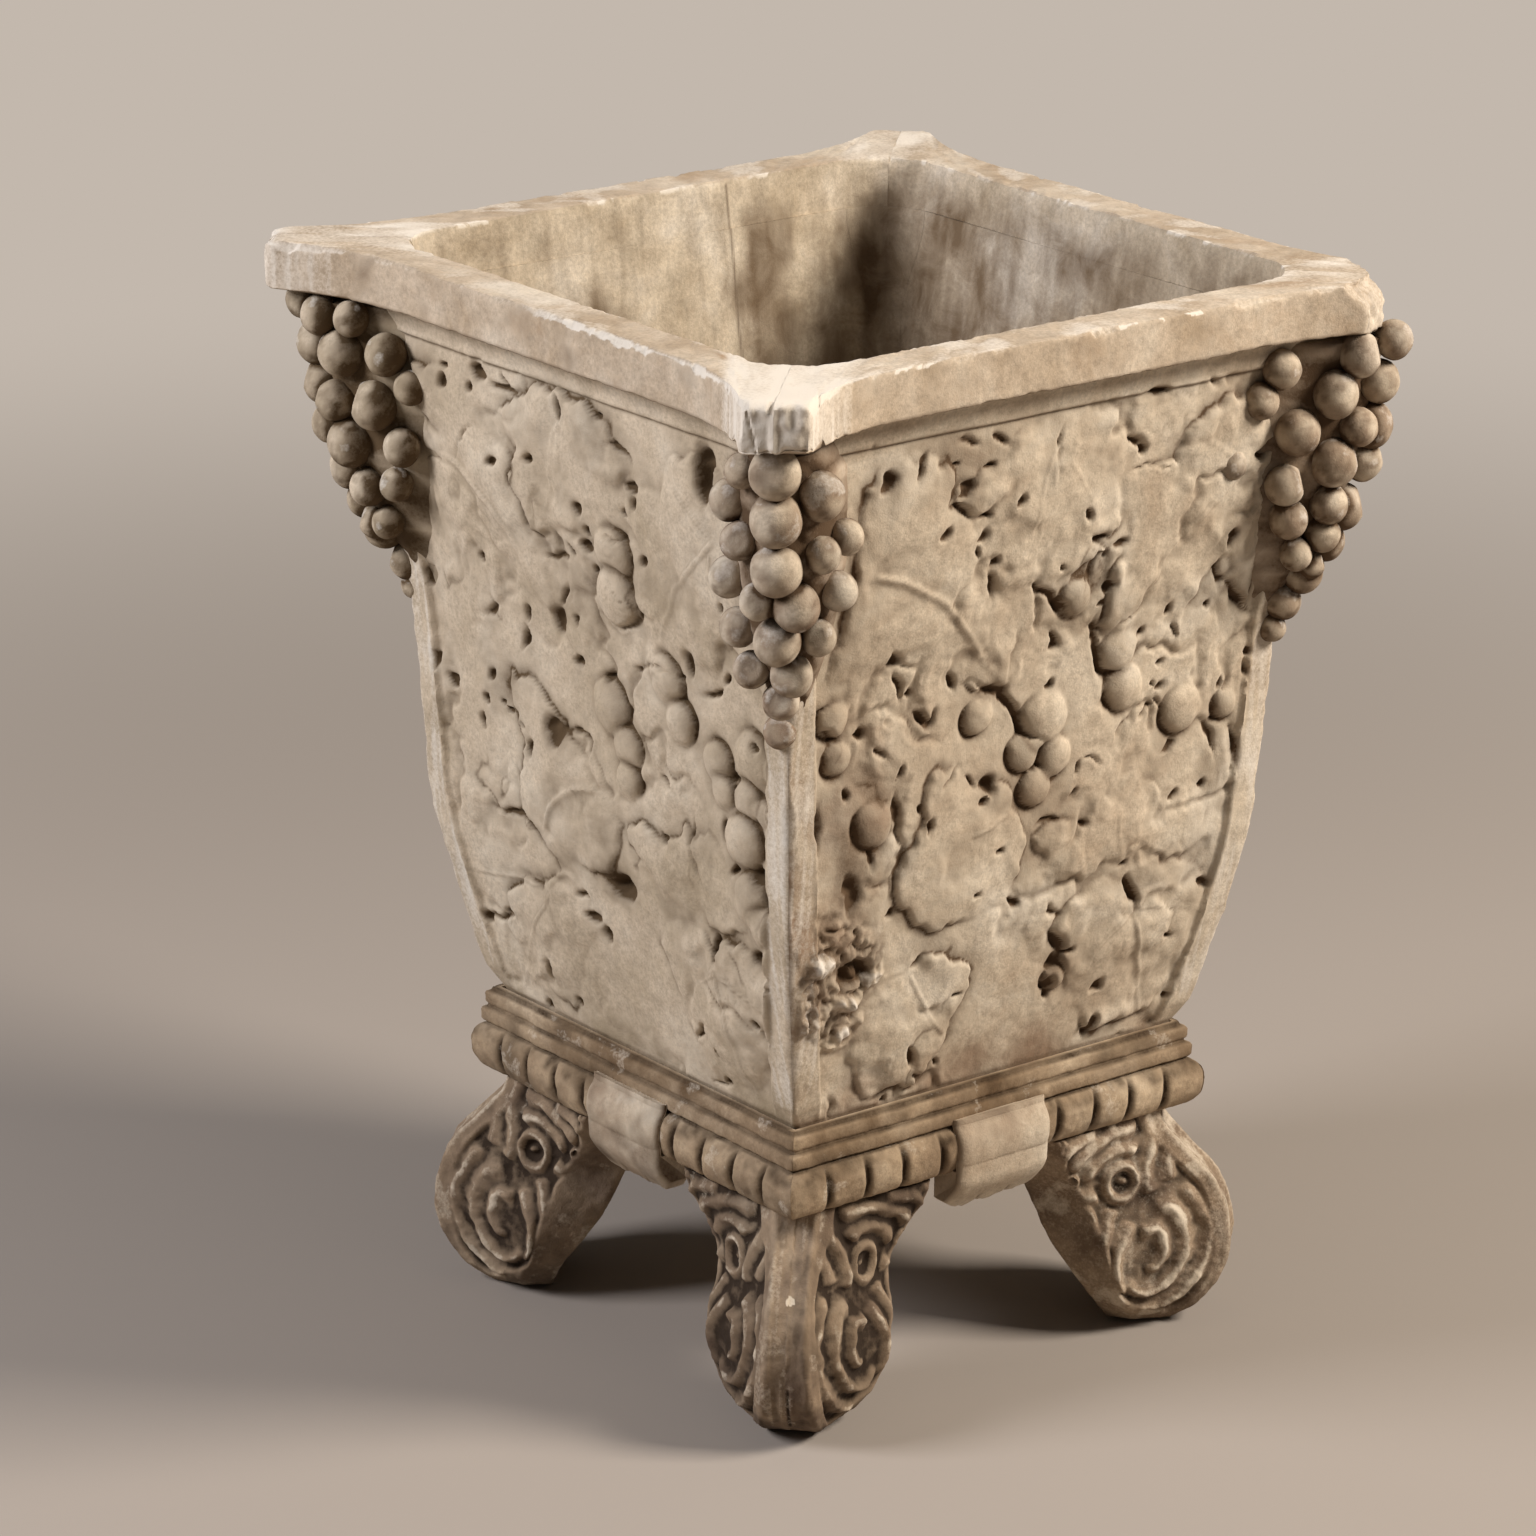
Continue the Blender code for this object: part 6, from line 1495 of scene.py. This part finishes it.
def foot_piece(turn):
    """Scroll foot: rows of smooth plan outlines, moved along their normals by the side's carving, a shallow
    channel down the nose band, and wear."""
    name = CORNERS[turn]
    climb = np.linspace(0, 1, FOOT_RINGS)
    height = climb * climb * (1 + 0.6 * (1 - climb))
    reach, width, nose_reach, band_half = foot_plan(height)
    z = (height * FOOT_HEIGHT)[:, None] + 0 * reach
    base = at(reach, width, z)
    around = np.roll(base, -1, axis=1) - np.roll(base, 1, axis=1)
    upward = np.gradient(base, axis=0)
    normal = np.cross(around, upward)
    normal /= np.maximum(np.linalg.norm(normal, axis=-1, keepdims=True), 1e-12)
    carving, hollow, crest = foot_carving(reach / MM, z / MM)
    within = ease(0.0, 0.0030, nose_reach - NOSE_MARGIN - reach) * ease(-0.2, 0.1, normal[..., 0])
    heel_line = HEEL_REACH - (z / MM - HEEL_LEVEL) * HEEL_DRAW_IN
    within = within * ease(-3.0, 3.0, reach / MM - heel_line)
    off_band = ease(0.0020, 0.0048, np.abs(width) - band_half)
    mask = within * off_band * ease(0.004, 0.011, z)
    own = at(reach / MM, z / MM + 300 * np.sign(width), width / MM)
    facing = ease(0.35, 0.75, normal[..., 0])
    channel = hill(width, 0.62 * band_half) * facing * ease(0.034, 0.058, z) * ease(0.1362, 0.125, z)
    border = hill(np.abs(width) - band_half, 0.0026) * (reach > 0.19) * ease(0.026, 0.05, z)
    wear = 0.55 * rough(own, 7, 801 + turn) + 1.0 * rough(own, 34, 805 + turn)
    runs = noise(at(width / MM, z / MM * 0.09), 3.0, 807 + turn)
    crack = hill(width - FOOT_CRACK_PLACE, FOOT_CRACK_WIDTH)
    crack = crack * ease(*FOOT_CRACK_START, z) * ease(*FOOT_CRACK_END, z)
    crack = crack * (normal[..., 0] > 0.3) * (turn == 0)
    push = carving * mask - 1.8 * channel + 1.3 * border + wear * ease(0.0, 0.006, z) - 1.4 * crack
    push = push + 0.5 * runs * facing * (np.abs(width) < band_half + 0.001)
    push = blurred(push, 0.7, 0.7) * ease(0.0, 0.004, z)
    moved = base + normal * push[..., None] * MM
    moved[..., 2] = np.clip(moved[..., 2], 0.0, FOOT_HEIGHT)
    moved[0, :, 2] = 0.0
    moved[-1, :, 2] = FOOT_HEIGHT
    # Painted shade in the carving's sunk places and a little painted light on its raised ones
    sink = blurred(push, 2.4, 2.4) - push
    darkening = 0.30 + 0.35 * rough(own, 26, 811 + turn)
    # Dirt and painted shade on the sunk ground of the carving
    ground_dirt_and_shade = 0.46 * hollow * (1 + 0.5 * rough(own, 9, 817 + turn)) + 0.08
    dirt_and_shade = np.clip(0.34 * sink, -0.12, 0.6) + ground_dirt_and_shade * mask + crack + 0.35 * darkening
    dirt_and_shade = dirt_and_shade + 0.22 * facing * ease(0.1, 0.8, rough(own * (1, 0.35, 1), 6, 813 + turn))
    dirt_and_shade = dirt_and_shade + 0.35 * ease(0.035, 0.0, z) * (reach < 0.20) + FOOT_SOIL_AND_LIGHT[turn]
    stain = 0.30 + 0.45 * rough(own, 28, 815 + turn) - 0.25 * border
    # Crests worn pale, which also paints a highlight on them
    worn_and_highlight = crest * mask * (0.32 + 0.45 * rough(own, 12, 821 + turn))
    worn_and_highlight = np.maximum(worn_and_highlight, 0.16 * border + 0.34 * ease(0.0, 0.8, runs) * facing)
    scuffs = 0.34 * ease(0.1, 0.8, rough(own, 16, 825 + turn)) * (1 - mask)
    worn_and_highlight = np.maximum(worn_and_highlight, scuffs) - 0.6 * FOOT_SOIL_AND_LIGHT[turn]
    spot = np.hypot((width - FLAKE_PLACE) / FLAKE_HALF_WIDTH, (z - FLAKE_LEVEL) / FLAKE_HALF_HEIGHT)
    flake = ease(1.15, 0.8, spot + 0.35 * noise(own, 1.6, 829)) * (turn == 0) * facing
    marks = {"dirt_and_shade": dirt_and_shade, "stain": stain, "chip_and_highlight": np.maximum(worn_and_highlight, flake)}
    add_piece(f"carved_foot_{name}", f"scroll_foot_{name}", "soiled_foot_plaster",
              at_corner(moved[..., 0], moved[..., 1], moved[..., 2]), turn, tube_faces(FOOT_RINGS, FOOT_RING),
              [foot_plaster], marks, None, 60, merge=True)


for turn in range(4):
    foot_piece(turn)


# Finishes of the CAD nodes that stay

finishes = [(f"foot_dowel_{name}", iron) for name in CORNERS] + [("floor_slab", inner_plaster)]
for node_name, material in finishes:
    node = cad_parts[node_name]
    for place in range(len(node.data.materials)):
        node.data.materials[place] = material


# Floor, lights and camera

def stage_material():
    """Matt painted studio floor: pale warm grey. Far from the object the eye sees an even pale tone
    instead of the lamps' fall-off, by a blend over the distance from the middle."""
    material = bpy.data.materials.new("matt_studio_floor")
    material.use_nodes = True
    tree = material.node_tree
    shader = tree.nodes["Principled BSDF"]
    shader.inputs["Base Color"].default_value = linear("9E948A")
    shader.inputs["Roughness"].default_value = 0.9
    shader.inputs["Specular IOR Level"].default_value = 0.2
    places = add_node(tree, "ShaderNodeTexCoord")
    distance = add_node(tree, "ShaderNodeVectorMath", {"operation": "LENGTH"}, {0: (places, "Object")})
    far = add_node(tree, "ShaderNodeMapRange",
                   {"From Min": 0.9, "From Max": 2.6, "interpolation_type": "SMOOTHSTEP"},
                   {"Value": (distance, "Value")})
    path = add_node(tree, "ShaderNodeLightPath")
    seen = add_node(tree, "ShaderNodeMath", {"operation": "ADD"},
                    {0: (path, "Is Camera Ray"), 1: (path, "Is Glossy Ray")})
    seen = add_node(tree, "ShaderNodeMath", {"operation": "ADD", "use_clamp": True},
                    {0: (seen, "Value"), 1: (path, "Is Transmission Ray")})
    amount = add_node(tree, "ShaderNodeMath", {"operation": "MULTIPLY"},
                      {0: (far, "Result"), 1: (seen, "Value")})
    glow = add_node(tree, "ShaderNodeEmission", {"Color": linear("C3B8AD"), "Strength": 1.0})
    both = add_node(tree, "ShaderNodeMixShader",
                    links={0: (amount, "Value"), 1: (shader, "BSDF"), 2: (glow, "Emission")})
    tree.links.new(both.outputs["Shader"], tree.nodes["Material Output"].inputs["Surface"])
    return material


# Floor wide enough to fill the picture, longer behind the vase
floor_points = np.array([(-9, -9, 0), (9, -9, 0), (9, 14, 0), (-9, 14, 0)], dtype=float)
floor = make_piece("studio_floor", floor_points, [np.array([[0, 1, 2, 3]])], [stage_material()])


def area_lamp(name, place, target, size, power, colour):
    """Square soft box at a place, facing a target."""
    data = bpy.data.lights.new(name, "AREA")
    data.size = size
    data.energy = power
    data.color = linear(colour)[:3]
    lamp = bpy.data.objects.new(name, data)
    bpy.context.scene.collection.objects.link(lamp)
    lamp.location = place
    lamp.rotation_euler = (Vector(target) - Vector(place)).to_track_quat("-Z", "Y").to_euler()
    return lamp


# Warm key on the photograph's right and a weaker, cooler window on its left, facing the vase's middle
LIT_PLACE = (0, 0, 0.35)
area_lamp("key_soft_box", (1.8, -2.0, 2.4), LIT_PLACE, 1.1, 164.0, "FFF7EE")
area_lamp("left_soft_box", (-2.4, 0.9, 1.9), LIT_PLACE, 1.1, 84.0, "F8F8FF")

scene = bpy.context.scene
scene.view_settings.view_transform = "Standard"
scene.world = scene.world or bpy.data.worlds.new("studio_air")
scene.world.use_nodes = True
sky = scene.world.node_tree.nodes["Background"]
sky.inputs["Color"].default_value = linear("E6E4E0")
sky.inputs["Strength"].default_value = 0.11

# Camera fitted to the photograph: azimuth, elevation and roll in degrees, distance from the place that it
# looks at, how far it is moved left and up from there, and its focal length in pixels of the photo's width
CAMERA_ANGLES = (-38.1787, 18.6303, 0.478352)
CAMERA_TARGET, CAMERA_DISTANCE = (0, 0, 0.33), 3.55645
CAMERA_LEFT, CAMERA_UP = 0.0419371, 0.0114376
FOCAL_PIXELS, PHOTO_WIDTH, SENSOR_WIDTH = 5888.52, 1536, 36.0

azimuth, elevation, roll = (math.radians(value) for value in CAMERA_ANGLES)
back = Vector((math.sin(azimuth) * math.cos(elevation), -math.cos(azimuth) * math.cos(elevation),
               math.sin(elevation)))
level_right = Vector((0, 0, 1)).cross(back).normalized()
level_up = back.cross(level_right)
right = level_right * math.cos(roll) + level_up * math.sin(roll)
up = level_up * math.cos(roll) - level_right * math.sin(roll)
camera_data = bpy.data.cameras.new("photo_camera")
camera_data.sensor_width = SENSOR_WIDTH
camera_data.lens = FOCAL_PIXELS / PHOTO_WIDTH * SENSOR_WIDTH
camera = bpy.data.objects.new("photo_camera", camera_data)
scene.collection.objects.link(camera)
place = Vector(CAMERA_TARGET) + back * CAMERA_DISTANCE - right * CAMERA_LEFT + up * CAMERA_UP
camera.matrix_world = Matrix.Translation(place) @ Matrix((right, up, back)).transposed().to_4x4()
scene.camera = camera
